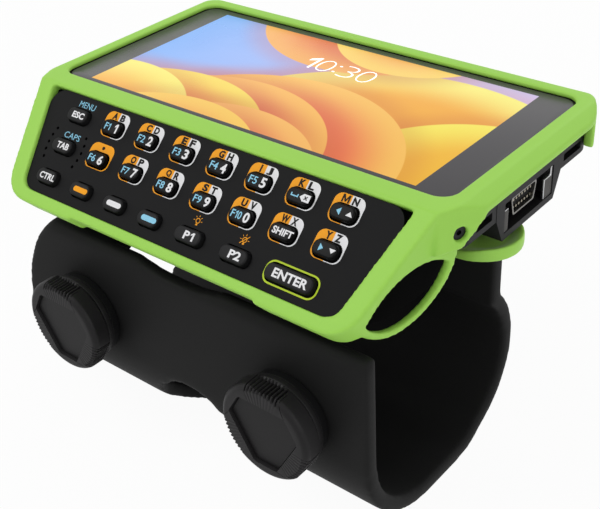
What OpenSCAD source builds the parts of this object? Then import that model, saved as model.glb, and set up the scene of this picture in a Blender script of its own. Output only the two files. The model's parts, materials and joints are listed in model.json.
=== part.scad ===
// Arm-worn data terminal: display and sloped keypad in a rubber boot, on a cuff with two ratchet dials.
// Millimetres. Origin at the middle of the cuff's flat base, X along the arm, Y to the rear, Z up.

/* [Display] */
// Width of the cover glass
glass_w = 130.5; // [120:0.5:140]
// Depth of the cover glass, front to rear
glass_d = 63; // [58:0.5:70]
// Thickness of the cover glass
glass_t = 1.6; // [1:0.1:2]
// Corner radius of the cover glass
glass_r = 4; // [2:0.5:6]
// Thickness of the display module under the glass
display_t = 2.8; // [2:0.1:3.2]
// Border of the glass that the display module leaves free
display_inset = 3.5; // [3:0.5:6]

/* [Housing] */
// Side wall of the tray outside the glass
tray_wall = 3.6; // [2.5:0.1:5]
// Depth of the tray below the glass top
tray_depth = 12; // [10.5:0.5:14]
// Thickness of the tray floor and of the inner walls
shell_t = 1.8; // [1.2:0.1:2.4]
// Depth of the battery and connector hump below the glass top
hump_depth = 19; // [18.5:0.5:23]
// Front edge of the hump behind the front edge of the glass
hump_y0 = 16; // [14:0.5:18]
// Depth of the hump, front to rear
hump_d = 31.8; // [29:0.5:36]
// Left end of the hump
hump_left = 62; // [50:1:64]
// Inward lean of the hump's front and rear sides
hump_lean = 3.2; // [1:0.1:3.6]
// Thickness of the main board
board_t = 1.2; // [0.8:0.1:1.6]
// Thickness of the battery pack
battery_t = 5.2; // [3:0.1:5.4]
// Thickness of the battery cover
cover_t = 1.3; // [1:0.1:1.3]

/* [Side connector] */
// Width of the connector mouth
mouth_w = 24; // [22:0.5:26]
// Height of the connector mouth
mouth_h = 8.4; // [7.5:0.1:9]
// Depth of the connector mouth
mouth_deep = 8; // [6:0.5:9]
// Width of the receptacle
plug_w = 12.6; // [11:0.1:14]
// Height of the receptacle
plug_h = 5.4; // [4.8:0.1:6]
// Contacts in each of the two rows
contact_count = 7; // [4:1:8]
// Diameter of a contact
contact_d = 0.7; // [0.4:0.05:0.8]

/* [Keypad] */
// Slope of the keypad below the display plane
key_slope = 42.8; // [38:0.1:45]
// Front edge of the glass to the upper edge of the keypad plate
key_bar = 7.1; // [6.5:0.1:9]
// Length of the keypad plate down the slope
plate_len = 29.6; // [29:0.1:33]
// Width of the keypad plate beside the outer keys, at its upper edge
plate_side = 11.85; // [10.5:0.05:14]
// Inward lean of each side of the plate along its length
plate_lean = 7.1; // [4:0.1:8]
// Thickness of the keypad plate
plate_t = 1.6; // [1.2:0.1:2]
// Corner radius of the keypad plate
plate_r = 4.5; // [2:0.1:6]
// Radius of the rounded belly under the keypad
belly_r = 26.6; // [26:0.1:27]
// Column pitch of the keys
key_pitch = 13; // [12.6:0.1:13.4]
// Row of the upper keys, down the slope
row_top = 5.9; // [5.5:0.1:6.5]
// Row pitch of the keys
row_pitch = 9.4; // [9:0.1:9.8]
// Width of a letter or digit key
cap_w = 7.4; // [6.5:0.1:8]
// Length of a key down the slope
cap_h = 4.3; // [4:0.1:5]
// Corner radius of a key
cap_r = 1.7; // [1:0.1:2]
// Height of a key above the keypad plate
cap_rise = 1.5; // [1:0.1:2]
// Travel of a key
key_travel = 0.8; // [0.5:0.1:1]
// Width of the enter key
enter_w = 14.6; // [12:0.1:16]
// Thickness of the key mat
mat_t = 0.6; // [0.5:0.1:1]

/* [Boot] */
// Wall of the boot outside the tray
boot_wall = 3.6; // [2.8:0.1:4.5]
// Height of the boot's rim above the glass
rim_h = 1.2; // [0.6:0.1:2]
// Lower edge of the boot below the glass top
boot_skirt = 10.5; // [9.5:0.5:11.5]
// Width of the boot beside and below the keypad plate
boot_side = 5.8; // [5:0.1:7]
// Slanted upper edge of the boot, across
bevel_w = 3.4; // [2:0.1:4]
// Slanted upper edge of the boot, down
bevel_h = 2.6; // [1.5:0.1:4]
// Height of the side port window's top below the glass top
window_top = 3.2; // [2.5:0.1:5]
// Radius of the boot's rear corners
boot_r = 15; // [10:0.5:17]
// Thickness of the boot's hoops beside the keypad wedge
hoop_t = 2.2; // [1.8:0.1:3]
// Diameter of a boot screw
boot_screw_d = 2.5; // [2:0.1:3]

/* [Mount] */
// Thickness of the mount plate's slab
slab_t = 2.9; // [2.4:0.1:4]
// Height of the pedestal on the slab
pedestal_h = 5.9; // [5.6:0.1:7]
// Thickness of the shoe under the terminal
shoe_t = 3.6; // [3.2:0.1:5]
// Height of the dovetail rail
rail_h = 2.4; // [1.8:0.1:2.6]
// Thickness of the release lever
lever_t = 2.6; // [2:0.1:3]
// Width of the release lever's tongue
lever_w = 20; // [18:0.5:22]
// End of the tongue from the middle of the part
lever_tip = 71; // [68:0.5:78]
// Diameter of the lever pin
pin_d = 2.4; // [2:0.1:2.6]
// Height of the lever above the slab
lever_gap = 3.2; // [3:0.1:3.3]
// Diameter of a mount screw
mount_screw_d = 3; // [2.5:0.5:3.5]

/* [Cuff] */
// Height of the cuff
cuff_h = 61.5; // [58:0.5:66]
// Wall of the cuff
cuff_wall = 4.5; // [3.5:0.1:6]
// Length of the cuff to the left of the middle
cuff_left = 66; // [62:1:68]
// Length of the cuff to the right of the middle
cuff_right = 61.5; // [61:0.5:66]
// Radius of the cuff's rear
cuff_r = 26; // [25:0.1:27]
// Rear of the cuff from the middle of its base
cuff_rear = 30.3; // [29:0.1:32]
// Rear edge of the cuff's flat base before rounding
base_rear = 9; // [7:0.2:11]
// Front wall of the cuff from the middle of its base
cuff_front = 38.8; // [37:0.1:41]
// Radius of the cuff's lower front
cuff_front_r = 28; // [27:0.1:29]
// Rear of the cuff's neck from the middle of its base
neck_rear = 22.5; // [21.5:0.1:24]
// Width of the opening in the cuff's roof
roof_window = 52; // [44:1:56]
// Radius of the notch in the lower front
notch_r = 17; // [14:0.5:19]
// Radius of the cuff's rounded left end
corner_r = 47; // [42:1:60]

/* [Dials] */
// Distance of each dial from the middle
dial_x = 37.4; // [36:0.1:40]
// Height of the dials above the base
dial_z = 36; // [34:0.5:38]
// Diameter of a knob
knob_d = 26.6; // [25:0.1:28]
// Thickness of a knob
knob_t = 7.9; // [7:0.1:9]
// Depth of the recess in a knob's face
recess = 1; // [0.6:0.1:1.4]
// Thickness of the cap in the recess
cap_t = 1.2; // [0.8:0.1:1.6]
// Ribs on each of a knob's three grips
rib_count = 9; // [5:1:9]
// Travel of a knob when it is pulled out
knob_travel = 2.5; // [1.5:0.1:3]
// Flange of a dial's base on the cuff
base_t = 2.6; // [2:0.1:3.5]
// Diameter of the dial bore in the cuff
dial_bore_d = 14.1; // [13:0.1:15]
// Diameter of a dial spindle
spindle_d = 4; // [3:0.1:4.5]

/* [Hidden] */
$fn = 64;
// Gap between pieces that are fixed to each other
fit = 0.1;
// Gap between a key and its opening
key_gap = 0.2;
// Gap between moving pieces
run_gap = 0.3;
// Radial clearance of a turning or sliding shaft
shaft_gap = 0.05;
// Radial clearance of a pin or screw that is held tight
tight_gap = 0.02;
// Cuts reach this far past a face
past = 1;
// Larger than the part
far = 200;
black = [0.14, 0.14, 0.14];
lime = [0.6, 0.82, 0.34];
steel = [0.7, 0.71, 0.72];
green_board = [0.12, 0.36, 0.2];

// Heights of the stack from the cuff to the glass
slab_z = cuff_h + slab_t;
pedestal_z = slab_z + pedestal_h;
shoe_z = pedestal_z + fit;
glass_z = shoe_z + shoe_t + hump_depth;
glass_y = -12.3;

// Tray and hump
tray_hw = glass_w / 2 + tray_wall;
tray_y0 = -tray_wall;
tray_y1 = glass_d + tray_wall;
tray_r = 8;
rim_drop = 0.4;
cavity_margin = 2;
cavity_hw = glass_w / 2 - cavity_margin;
hump_y1 = hump_y0 + hump_d;
hump_mid = hump_y0 + hump_d / 2;
bay_left = tray_hw - mouth_deep - shell_t;
well_right = bay_left - shell_t;
well_y0 = hump_y0 + hump_lean + shell_t;
well_y1 = hump_y1 - hump_lean - shell_t;
mouth_z = -hump_depth + shell_t + mouth_h / 2;
bay_top = mouth_z + mouth_h / 2 + shell_t;
port_face = tray_hw + fit;
board_gap = 0.3;
board_edge = 1;
board_top = -glass_t - display_t - board_gap;
board_right = bay_left - 2 * board_edge;
post_d = 5;
post_in = 6;
slot_z = [-10.4, -8.2];
slot_deep = 1.6;
front_slot = [1, 7];
rear_slot = [1.4, 9.2];

// Receptacle
plug_back = 0.9;
plug_deep = mouth_deep - plug_back;
plug_lean = 1.2;
plug_wall = 0.5;
plug_r = 0.8;
plug_shift = [-1, 0.4];
insert_back = 1;
contact_back = 0.6;
contact_margin = plug_lean + plug_wall + contact_d / 2 + fit;
contact_pitch = (plug_w - 2 * contact_margin) / (contact_count - 1);
contact_rows = 2.2;
bracket_t = 0.9;
bracket_back = 0.8;
bracket_foot = 4.4;
front_bracket_h = 5.9;
rear_bracket_h = 7.1;
bracket_foot_h = 5;

// Keypad frame and belly
plate_z = -0.3;
belly_y = -8;
belly_z = -3.4;
belly_rear = 10.6;
belly_gap = 0.3;
lip_len = 3.8;
lip_r = 9;
relief_hw = 32;
relief_deep = 0.9;
frame_up = 0.8;
rim_key = 1;
flange_t = 0.6;
flange_w = 0.8;
flange_low = -plate_t - run_gap / 2 - flange_t;
mat_top = flange_low - key_travel - fit;
pcb_top = mat_top - mat_t;
pcb_t = 0.9;
slab_w = -pcb_top + pcb_t + shell_t + fit;
board_in = 0.9;
foot_x = [-44, 0, 44];
foot_in = 5;
foot_d = 6;
speaker_d = 13;
speaker_t = 2.8;
speaker_hole_d = 0.9;
speaker_row = 6.7;
speaker_arc = 12;
speaker_step = 10.5;

// Key places: name, across, down the slope, width, length
wide_w = 9;
enter_h = 4.6;
left_w = cap_w + 0.4;
p1_shift = 1.1;
p2_shift = 3.3;
enter_shift = 7.5;
row_2 = row_top + row_pitch;
row_3 = row_2 + row_pitch;
upper = ["key_1", "key_2", "key_3", "key_4", "key_5", "key_backspace", "key_up"];
lower = ["key_6", "key_7", "key_8", "key_9", "key_0", "key_shift", "key_down"];
colours = ["key_orange", "key_white", "key_blue"];
left = ["key_esc", "key_tab", "key_ctrl"];
col_shift = -1.05;
left_step = 13.5;
key_span = left_step + (len(upper) - 1) * key_pitch;
col_left = col_shift - key_span / 2;
col_first = col_left + left_step;
plate_hw = (key_span + cap_w) / 2 + plate_side;
speaker_at = [col_left, row_2];
function col(i) = col_first + i * key_pitch;
KEYS = concat(
    [for (i = [0:len(upper) - 1]) [upper[i], col(i), row_top, cap_w, cap_h]],
    [for (i = [0:len(lower) - 1]) [lower[i], col(i), row_2, cap_w, cap_h]],
    [for (i = [0:len(colours) - 1]) [colours[i], col(i), row_3, cap_w, cap_h]],
    [for (i = [0:len(left) - 1]) [left[i], col_left, row_top + i * row_pitch, left_w, cap_h]],
    [["key_p1", col(3) + p1_shift, row_3, wide_w, cap_h],
     ["key_p2", col(4) + p2_shift, row_3, wide_w, cap_h],
     ["key_enter", col(5) + enter_shift, row_3, enter_w, enter_h]]);

// Boot outline
boot_hw = tray_hw + boot_wall;
boot_y1 = tray_y1 + boot_wall;
boot_front_hw = plate_hw + boot_side;
front_corner_y = 5;
ring_radii = [0.5, 4, boot_r];
glass_gap = 0.45;
window_y0 = 6;
window_rear = 3.6;
window_y1 = glass_d - window_rear;
window_slant = 6.5;
leaf_low = [-12.9, -14.5, 14];
leaf_high = [-9.8, -28, 15.8];
hoop_w = 2;
screw_at = [(boot_front_hw + boot_hw) / 2, (front_corner_y - key_bar) / 2, -6.4];
screw_turn = atan2(front_corner_y + key_bar, boot_hw - boot_front_hw) - 90;
screw_seat = 2.4;
screw_len = 4.5;
screw_head_d = 3.6;
screw_head_t = 1.3;
screw_hex_d = 1.5;
screw_hex_deep = 0.8;

// Mount and lever
slab_x0 = -44;
slab_x1 = 54;
slab_y0 = 0;
pedestal_x0 = -40;
pedestal_x1 = 20;
pedestal_y0 = 2;
mid_y = (pedestal_y0 + neck_rear) / 2;
rail_w = 12;
rail_flare = 2;
shoe_w = 17;
rail_gap = 0.15;
hinge_x = 26;
hinge_z = slab_z + lever_gap + lever_t / 2;
barrel_wall = 1.2;
barrel_r = pin_d / 2 + barrel_wall;
barrel_w = 12;
cheek_reach = 4.6;
cheek_x1 = hinge_x + cheek_reach;
cheek_t = 3.6;
lever_clear = 1;
lever_neck_x = cheek_x1 + lever_clear;
lever_lap = 2;
spring_x = 38;
spring_len = 14;
spring_rise = 1.5;
spring_t = 0.4;
spring_w = 6;
mount_screw_x = [-34, 8];
screw_up = 4.5;
screw_tip_gap = 0.2;
mount_head_over = 1.3;
mount_head_d = mount_screw_d + 2 * mount_head_over;
mount_head_t = 1.8;
mount_hex_d = 2.4;
mount_hex_deep = 1;
mount_screw_edge = 2.4;
inner_radii = [4, 8];
mount_screw_y = [pedestal_y0 + mount_screw_edge,
    neck_rear - cuff_wall - inner_radii[0] - mount_head_d / 2 - fit];

// Cuff
sink = 0.2;
front_mid = [-cuff_front + cuff_front_r, cuff_front_r - sink];
rear_z = 28;
rear_mid = [cuff_rear - cuff_r, rear_z];
base_corner = [base_rear, 0];
base_turn = atan2(rear_mid.y, rear_mid.x - base_rear) - asin((cuff_r - sink) / norm(rear_mid - base_corner));
rear_normal = [sin(base_turn), -cos(base_turn)];
base_round = 16;
bulge_z = 26;
neck_radii = [1, 3];
dip_r = 60;
dip = 2;
roof_rear = -12;
roof_right = 40;

// Dials
wall_y = -cuff_front;
base_y = wall_y - base_t;
knob_back = base_y - run_gap;
knob_front = knob_back - knob_t;
flange_in = 1;
flange_d = knob_d - 2 * flange_in;
dial_floor = 0.3;
tube_wall = 1.65;
spool_d = dial_bore_d - 2 * (shaft_gap + tube_wall + run_gap);
spool_y0 = base_y + dial_floor + run_gap;
spool_y1 = wall_y + cuff_wall - run_gap;
groove_r = 1.2;
ratchet_lap = 0.5;
ratchet_h = knob_travel + ratchet_lap;
cup_wall = 3;
cup_d = knob_d - 2 * cup_wall;
hex_long = 8.3;
hex_short = 10.4;
grip_cut = 0.9;
grip_flat = knob_d / 2 - grip_cut;
rib_d = 1;
rib_pitch = 1.15;
backplate_d = 16.5;
backplate_t = 1.2;
spindle_head_d = 8;
spindle_head_t = 1.2;
cap_y = knob_front + recess;

dial_sides = ["left", "right"];
dial_pieces = ["dial_base", "dial_backplate", "dial_spool", "dial_spindle", "dial_knob", "dial_cap"];

// Corner of an outline, rounded by an arc
function unit(v) = v / norm(v);
function corner(a, p, b, r, n) =
    let (u = unit(a - p), w = unit(b - p), half = acos(u * w) / 2)
    let (c = p + unit(u + w) * r / sin(half), d = r / tan(half))
    let (s = p + u * d - c, e = p + w * d - c)
    let (a0 = atan2(s.y, s.x), turn = atan2(s.x * e.y - s.y * e.x, s * e))
    r == 0 ? [p] : [for (i = [0:n]) c + r * [cos(a0 + turn * i / n), sin(a0 + turn * i / n)]];
function rounded(pts, radii, n = 8) =
    [for (i = [0:len(pts) - 1]) each corner(pts[(i + len(pts) - 1) % len(pts)], pts[i],
        pts[(i + 1) % len(pts)], radii[i], n)];
function mirrored(pts) = concat(pts, [for (i = [len(pts) - 1:-1:0]) [-pts[i].x, pts[i].y]]);

// Frames of the terminal, the keypad and the dials
module in_terminal() { translate([0, glass_y, glass_z]) children(); }
module in_keypad() { in_terminal() translate([0, -key_bar, plate_z]) rotate([key_slope, 0, 0]) children(); }
module along_x(x0, x1) { translate([x0, 0, 0]) rotate([90, 0, 90]) linear_extrude(x1 - x0) children(); }
module along_y(y0, y1) { translate([0, y1, 0]) rotate([90, 0, 0]) linear_extrude(y1 - y0) children(); }
module at_dial(side) { translate([side == "left" ? -dial_x : dial_x, 0, dial_z]) children(); }
module turned_y(y0, y1, d) { translate([0, y1, 0]) rotate([90, 0, 0]) cylinder(d = d, h = y1 - y0); }

// Shapes that repeat
module rounded_square(size, r) {
    union() {
        square([size.x - 2 * r, size.y], center = true);
        square([size.x, size.y - 2 * r], center = true);
        for (i = [-1, 1])
            for (j = [-1, 1])
                translate([i * (size.x / 2 - r), j * (size.y / 2 - r)]) circle(r);
    }
}
module slab(x, y, z) { translate([x[0], y[0], z[0]]) cube([x[1] - x[0], y[1] - y[0], z[1] - z[0]]); }

// Glass, display and tray
module glass_plate(grow, z0, z1) {
    translate([0, glass_d / 2, z0]) linear_extrude(z1 - z0)
        rounded_square([glass_w + 2 * grow, glass_d + 2 * grow], glass_r + grow);
}
module cover_glass() { color([0.36, 0.36, 0.37]) in_terminal() glass_plate(0, -glass_t, 0); }
module display_module() {
    color([0.2, 0.2, 0.22]) in_terminal()
        slab([-glass_w / 2 + display_inset, glass_w / 2 - display_inset],
            [display_inset, glass_d - display_inset], [-glass_t - display_t, -glass_t]);
}
module main_board() {
    color(green_board) in_terminal()
        slab([-cavity_hw + board_edge, board_right],
            [cavity_margin + board_edge, glass_d - cavity_margin - board_edge],
            [board_top - board_t, board_top]);
}
module tray_block(grow) {
    translate([0, (tray_y0 + tray_y1) / 2, -tray_depth - grow])
        linear_extrude(tray_depth - rim_drop + 2 * grow)
            rounded_square([2 * (tray_hw + grow), tray_y1 - tray_y0 + 2 * grow], tray_r + grow);
}
module terminal_housing() {
    color(black) in_terminal() difference() {
        union() {
            difference() {
                tray_block(0);
                slab([-cavity_hw, cavity_hw], [cavity_margin, glass_d - cavity_margin],
                    [-tray_depth + shell_t, past]);
            }
            difference() {
                along_x(-hump_left, port_face) hump_outline();
                slab([-hump_left + shell_t, well_right], [well_y0, well_y1],
                    [-hump_depth - past, -tray_depth]);
            }
            slab([bay_left, port_face], [hump_y0, hump_y1], [-tray_depth, bay_top]);
            board_posts();
        }
        glass_plate(fit, -glass_t, past);
        slab([bay_left + shell_t, port_face + past], [hump_mid - mouth_w / 2, hump_mid + mouth_w / 2],
            [mouth_z - mouth_h / 2, mouth_z + mouth_h / 2]);
        side_slot(hump_y1 + rear_slot[0], rear_slot[1]);
        side_slot(window_y0 + front_slot[0], front_slot[1]);
        screw_place() {
            screw_core(boot_screw_d + 2 * shaft_gap, screw_seat + screw_len + fit, 0);
            screw_core(screw_head_d + 2 * fit, screw_seat + tight_gap, past);
        }
    }
}
module hump_outline() {
    polygon([[hump_y0, -tray_depth + shell_t], [hump_y0, -tray_depth], [hump_y0 + hump_lean, -hump_depth],
        [hump_y1 - hump_lean, -hump_depth], [hump_y1, -tray_depth], [hump_y1, -tray_depth + shell_t]]);
}
module board_posts() {
    for (x = [-cavity_hw + post_in, board_right - post_in])
        for (y = [cavity_margin + post_in, glass_d - cavity_margin - post_in])
            translate([x, y, -tray_depth + shell_t - fit])
                cylinder(d = post_d, h = board_top - board_t + tray_depth - shell_t + fit);
}
module side_slot(y0, w) { slab([tray_hw - slot_deep, tray_hw + past], [y0, y0 + w], slot_z); }
module battery_pack() {
    color([0.25, 0.25, 0.28]) in_terminal()
        slab([-hump_left + shell_t + run_gap, well_right - run_gap], [well_y0 + run_gap, well_y1 - run_gap],
            [-tray_depth - battery_t, -tray_depth]);
}
module battery_cover() {
    color(black) in_terminal()
        slab([-hump_left + shell_t + fit, well_right - fit], [well_y0 + fit, well_y1 - fit],
            [-hump_depth, -hump_depth + cover_t]);
}

// Side connector: D-shaped shell, insert, contacts and bracket strips
module plug_outline(grow) {
    top = plug_w / 2 + grow;
    low = plug_w / 2 - plug_lean + grow;
    polygon(rounded([[-low, -plug_h / 2 - grow], [low, -plug_h / 2 - grow], [top, plug_h / 2 + grow],
        [-top, plug_h / 2 + grow]], [plug_r, plug_r, plug_r, plug_r]));
}
module plug_piece(x0, x1) {
    in_terminal() translate([bay_left + shell_t, hump_mid + plug_shift.x, mouth_z + plug_shift.y])
        along_x(x0, x1) children();
}
module contact_grid() {
    for (i = [0:contact_count - 1])
        for (j = [-1, 1])
            translate([(i - (contact_count - 1) / 2) * contact_pitch, j * contact_rows / 2]) children();
}
module connector_shell() {
    color(steel) plug_piece(0, plug_deep) difference() {
        plug_outline(0);
        plug_outline(-plug_wall);
    }
}
module connector_insert() {
    color(black) plug_piece(0, plug_deep - insert_back) difference() {
        plug_outline(-plug_wall - fit);
        contact_grid() circle(d = contact_d + 2 * shaft_gap);
    }
}
module connector_contacts() {
    color([0.8, 0.66, 0.3]) plug_piece(0, plug_deep - contact_back) contact_grid() circle(d = contact_d);
}
module connector_brackets() {
    z0 = mouth_z - mouth_h / 2;
    x0 = bay_left + shell_t;
    x1 = port_face - bracket_back;
    y0 = hump_mid - mouth_w / 2 + fit;
    y1 = hump_mid + mouth_w / 2 - fit;
    color(steel) in_terminal() {
        slab([x0, x1], [y0, y0 + bracket_t], [z0, z0 + front_bracket_h]);
        union() {
            slab([x0, x1], [y1 - bracket_t, y1], [z0, z0 + rear_bracket_h]);
            slab([x0, x0 + bracket_t], [y1 - bracket_foot, y1], [z0, z0 + bracket_foot_h]);
        }
    }
}

// Keypad wedge: outline down the slope, side profile with a rounded belly
function plate_edge(u, grow) = plate_hw + u * plate_lean / plate_len + grow;
module key_outline(u0, u1, grow, r0, r1) {
    polygon(rounded(mirrored([[plate_edge(u0, grow), u0], [plate_edge(u1, grow), u1]]), [r0, r1, r1, r0]));
}
module key_prism(w0, w1) { in_keypad() translate([0, 0, w0]) linear_extrude(w1 - w0) children(); }
module belly(grow, rear) {
    in_terminal() intersection() {
        along_x(-far / 2, far / 2) translate([belly_y, belly_z]) circle(belly_r + grow, $fn = 96);
        slab([-far / 2, far / 2], [-far, rear], [-far, 0]);
    }
}
module keypad_core(grow, front) {
    difference() {
        intersection() {
            key_prism(-far / 3, front)
                key_outline(-plate_len - grow, far / 10, grow, plate_r + grow, plate_r);
            union() {
                belly(grow - belly_gap, belly_rear - belly_gap + grow);
                in_keypad() slab([-far, far], [-far, far / 10], [-slab_w - grow, front]);
            }
        }
        in_terminal() slab([-far, far], [tray_y0 - fit + grow, far], [-tray_depth - fit + grow, far]);
        intersection() {
            in_keypad() slab([-far, far], [grow, far], [-far, far]);
            in_terminal() slab([-far, far], [-far, far], [-boot_skirt - fit + grow, far]);
        }
    }
}
module keypad_housing() {
    color(black) union() {
        difference() {
            keypad_core(0, -plate_t);
            keypad_core(-shell_t, past);
        }
        intersection() {
            keypad_core(-fit, -plate_t);
            key_prism(-far / 3, pcb_top - pcb_t) board_feet() circle(d = foot_d);
        }
    }
}
module board_feet() {
    for (x = foot_x)
        for (u = [-foot_in, -plate_len + foot_in])
            translate([x, u]) children();
}
module keypad_board() {
    color(green_board) key_prism(pcb_top - pcb_t, pcb_top)
        key_outline(-plate_len + shell_t + fit, -shell_t - board_in, -shell_t - fit, plate_r, plate_r);
}
module key_mat() {
    color([0.2, 0.2, 0.2]) key_prism(pcb_top, mat_top)
        key_outline(-plate_len + shell_t + run_gap, -shell_t - run_gap, -shell_t - run_gap,
            plate_r, plate_r);
}
module speaker() {
    color([0.3, 0.3, 0.32]) key_prism(pcb_top - pcb_t - speaker_t, pcb_top - pcb_t)
        translate([speaker_at.x, -speaker_at.y]) circle(d = speaker_d);
}
module keypad_plate() {
    color(black) key_prism(-plate_t, 0) difference() {
        key_outline(-plate_len, 0, 0, plate_r, plate_r);
        for (k = KEYS)
            translate([k[1], -k[2]])
                rounded_square([k[3] + 2 * key_gap, k[4] + 2 * key_gap], cap_r + key_gap);
        for (side = [-1, 1])
            for (i = [-2:2])
                translate([speaker_at.x + side * (speaker_row + speaker_arc * (cos(i * speaker_step) - 1)),
                    -speaker_at.y - speaker_arc * sin(i * speaker_step)]) circle(d = speaker_hole_d);
    }
}
module key_cap(k) {
    color(black) in_keypad() translate([k[1], -k[2], 0]) union() {
        translate([0, 0, flange_low]) linear_extrude(flange_t)
            rounded_square([k[3] + 2 * flange_w, k[4] + 2 * flange_w], cap_r);
        translate([0, 0, flange_low]) linear_extrude(cap_rise - flange_low)
            rounded_square([k[3], k[4]], cap_r);
    }
}

// Rubber boot: ring around the tray, frame around the keypad, hoops under the wedge's sides
module display_ring() {
    outline = mirrored([[boot_front_hw, -key_bar], [boot_hw, front_corner_y],
        [boot_hw, boot_y1]]);
    low = -boot_skirt;
    intersection() {
        translate([0, 0, low]) linear_extrude(boot_skirt + rim_h)
            polygon(rounded(outline, [each ring_radii, for (i = [2:-1:0]) ring_radii[i]]));
        along_x(-far, far) polygon([[-far, low], [-far, rim_h], [boot_y1 - bevel_w, rim_h],
            [boot_y1, rim_h - bevel_h], [boot_y1, low]]);
        along_y(-far, far) polygon([[-boot_hw, low], [-boot_hw, rim_h - bevel_h],
            [-boot_hw + bevel_w, rim_h], [boot_hw - bevel_w, rim_h],
            [boot_hw, rim_h - bevel_h], [boot_hw, low]]);
    }
}
module leaf_arc(arc, grow) { translate([arc.x, arc.y]) circle(arc.z + grow, $fn = 96); }
module hoop_disc() {
    in_terminal() intersection() {
        along_x(-far / 2, far / 2) leaf_arc(leaf_low, hoop_w);
        slab([-far / 2, far / 2], [-far, belly_rear], [-far, 0]);
    }
}
module keypad_frame() {
    intersection() {
        key_prism(-far / 3, rim_key)
            key_outline(-plate_len - lip_len, far / 10, boot_side, lip_r, plate_r);
        union() {
            hoop_disc();
            in_keypad() slab([-far, far], [-far, frame_up], [-slab_w, rim_key]);
        }
        in_terminal() slab([-far, far], [-far, far], [-far, rim_h]);
    }
}
module lip_relief() {
    low = -plate_len - lip_len;
    top = low + relief_deep;
    ramp = relief_deep + past;
    key_prism(-far / 3, far / 10) polygon([[-relief_hw, top], [relief_hw, top],
        [relief_hw + ramp, top - ramp], [-relief_hw - ramp, top - ramp]]);
}
module hoop_hollow() {
    intersection() {
        key_prism(-far / 3, -slab_w)
            key_outline(-plate_len - lip_len + hoop_t, far / 10, boot_side - hoop_t,
                lip_r - hoop_t, plate_r);
        in_terminal() slab([-far, far], [-far, far], [-far, -boot_skirt]);
    }
}
module leaf_window() {
    in_terminal() along_x(-far, far) intersection() {
        leaf_arc(leaf_low, 0);
        leaf_arc(leaf_high, 0);
    }
}
module screw_place() {
    for (side = [0, 1])
        mirror([side, 0, 0]) translate(screw_at) rotate([0, 90, screw_turn]) children();
}
module screw_core(d, deep, out) { translate([0, 0, -deep]) cylinder(d = d, h = deep + out); }
module rubber_boot() {
    color(lime) difference() {
        union() {
            in_terminal() display_ring();
            keypad_frame();
        }
        in_terminal() tray_block(fit);
        in_terminal() glass_plate(glass_gap, -2 * past, far);
        keypad_core(fit, far / 10);
        in_terminal() along_x(0, far) polygon([[window_y0, -window_top], [window_y1, -window_top],
            [window_y1, -far], [window_y0, -far], [window_y0, -tray_depth],
            [window_y0 - window_slant, -boot_skirt - fit]]);
        leaf_window();
        hoop_hollow();
        lip_relief();
        in_terminal() screw_place() {
            screw_core(screw_head_d + 2 * fit, screw_seat + past, past);
            screw_core(boot_screw_d + 2 * fit, screw_seat + screw_len + fit, 0);
        }
    }
}
module boot_screws() {
    color(steel) in_terminal() screw_place() difference() {
        union() {
            screw_core(boot_screw_d, screw_seat + screw_len, -screw_seat + fit);
            screw_core(screw_head_d, screw_seat, -screw_seat + screw_head_t);
        }
        screw_core(screw_hex_d, screw_seat - screw_head_t + screw_hex_deep, past, $fn = 6);
    }
}

// Mount: slab and dovetail rail on the cuff, shoe under the terminal, release lever
module rail_outline(grow) {
    low = rail_w / 2 + grow;
    top = low + rail_flare;
    polygon([[mid_y - low, -past], [mid_y + low, -past], [mid_y + low, 0], [mid_y + top, rail_h + grow],
        [mid_y - top, rail_h + grow], [mid_y - low, 0]]);
}
module mount_plate() {
    color(black) difference() {
        union() {
            slab([slab_x0, slab_x1], [slab_y0, neck_rear], [cuff_h, slab_z]);
            slab([pedestal_x0, pedestal_x1], [pedestal_y0, neck_rear], [slab_z - fit, pedestal_z]);
            translate([0, 0, pedestal_z]) along_x(pedestal_x0, pedestal_x1) rail_outline(0);
            for (side = [-1, 1])
                translate([0, mid_y + side * (barrel_w / 2 + run_gap + cheek_t / 2), 0])
                    slab([pedestal_x1 - fit, cheek_x1], [-cheek_t / 2, cheek_t / 2],
                        [slab_z - fit, pedestal_z]);
        }
        translate([hinge_x, 0, hinge_z]) turned_y(slab_y0 - past, neck_rear + past, pin_d + 2 * tight_gap);
        mount_shanks(mount_screw_d + 2 * tight_gap, 0);
    }
}
module mount_shoe() {
    color(black) difference() {
        slab([pedestal_x0, pedestal_x1], [mid_y - shoe_w / 2, mid_y + shoe_w / 2],
            [shoe_z, shoe_z + shoe_t]);
        translate([0, 0, pedestal_z]) along_x(-far, far) rail_outline(rail_gap);
    }
}
module mount_shanks(d, gap) {
    for (x = mount_screw_x)
        for (y = mount_screw_y)
            translate([x, y, cuff_h - cuff_wall - past])
                cylinder(d = d, h = cuff_wall + past + screw_up - gap);
}
module mount_screws() {
    color(steel) union() {
        intersection() {
            mount_shanks(mount_screw_d, screw_tip_gap);
            slab([-far, far], [-far, far], [cuff_h - cuff_wall, far]);
        }
        for (x = mount_screw_x)
            for (y = mount_screw_y)
                translate([x, y, cuff_h - cuff_wall - mount_head_t]) difference() {
                    cylinder(d = mount_head_d, h = mount_head_t);
                    translate([0, 0, -past]) cylinder(d = mount_hex_d, h = past + mount_hex_deep, $fn = 6);
                }
    }
}
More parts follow.
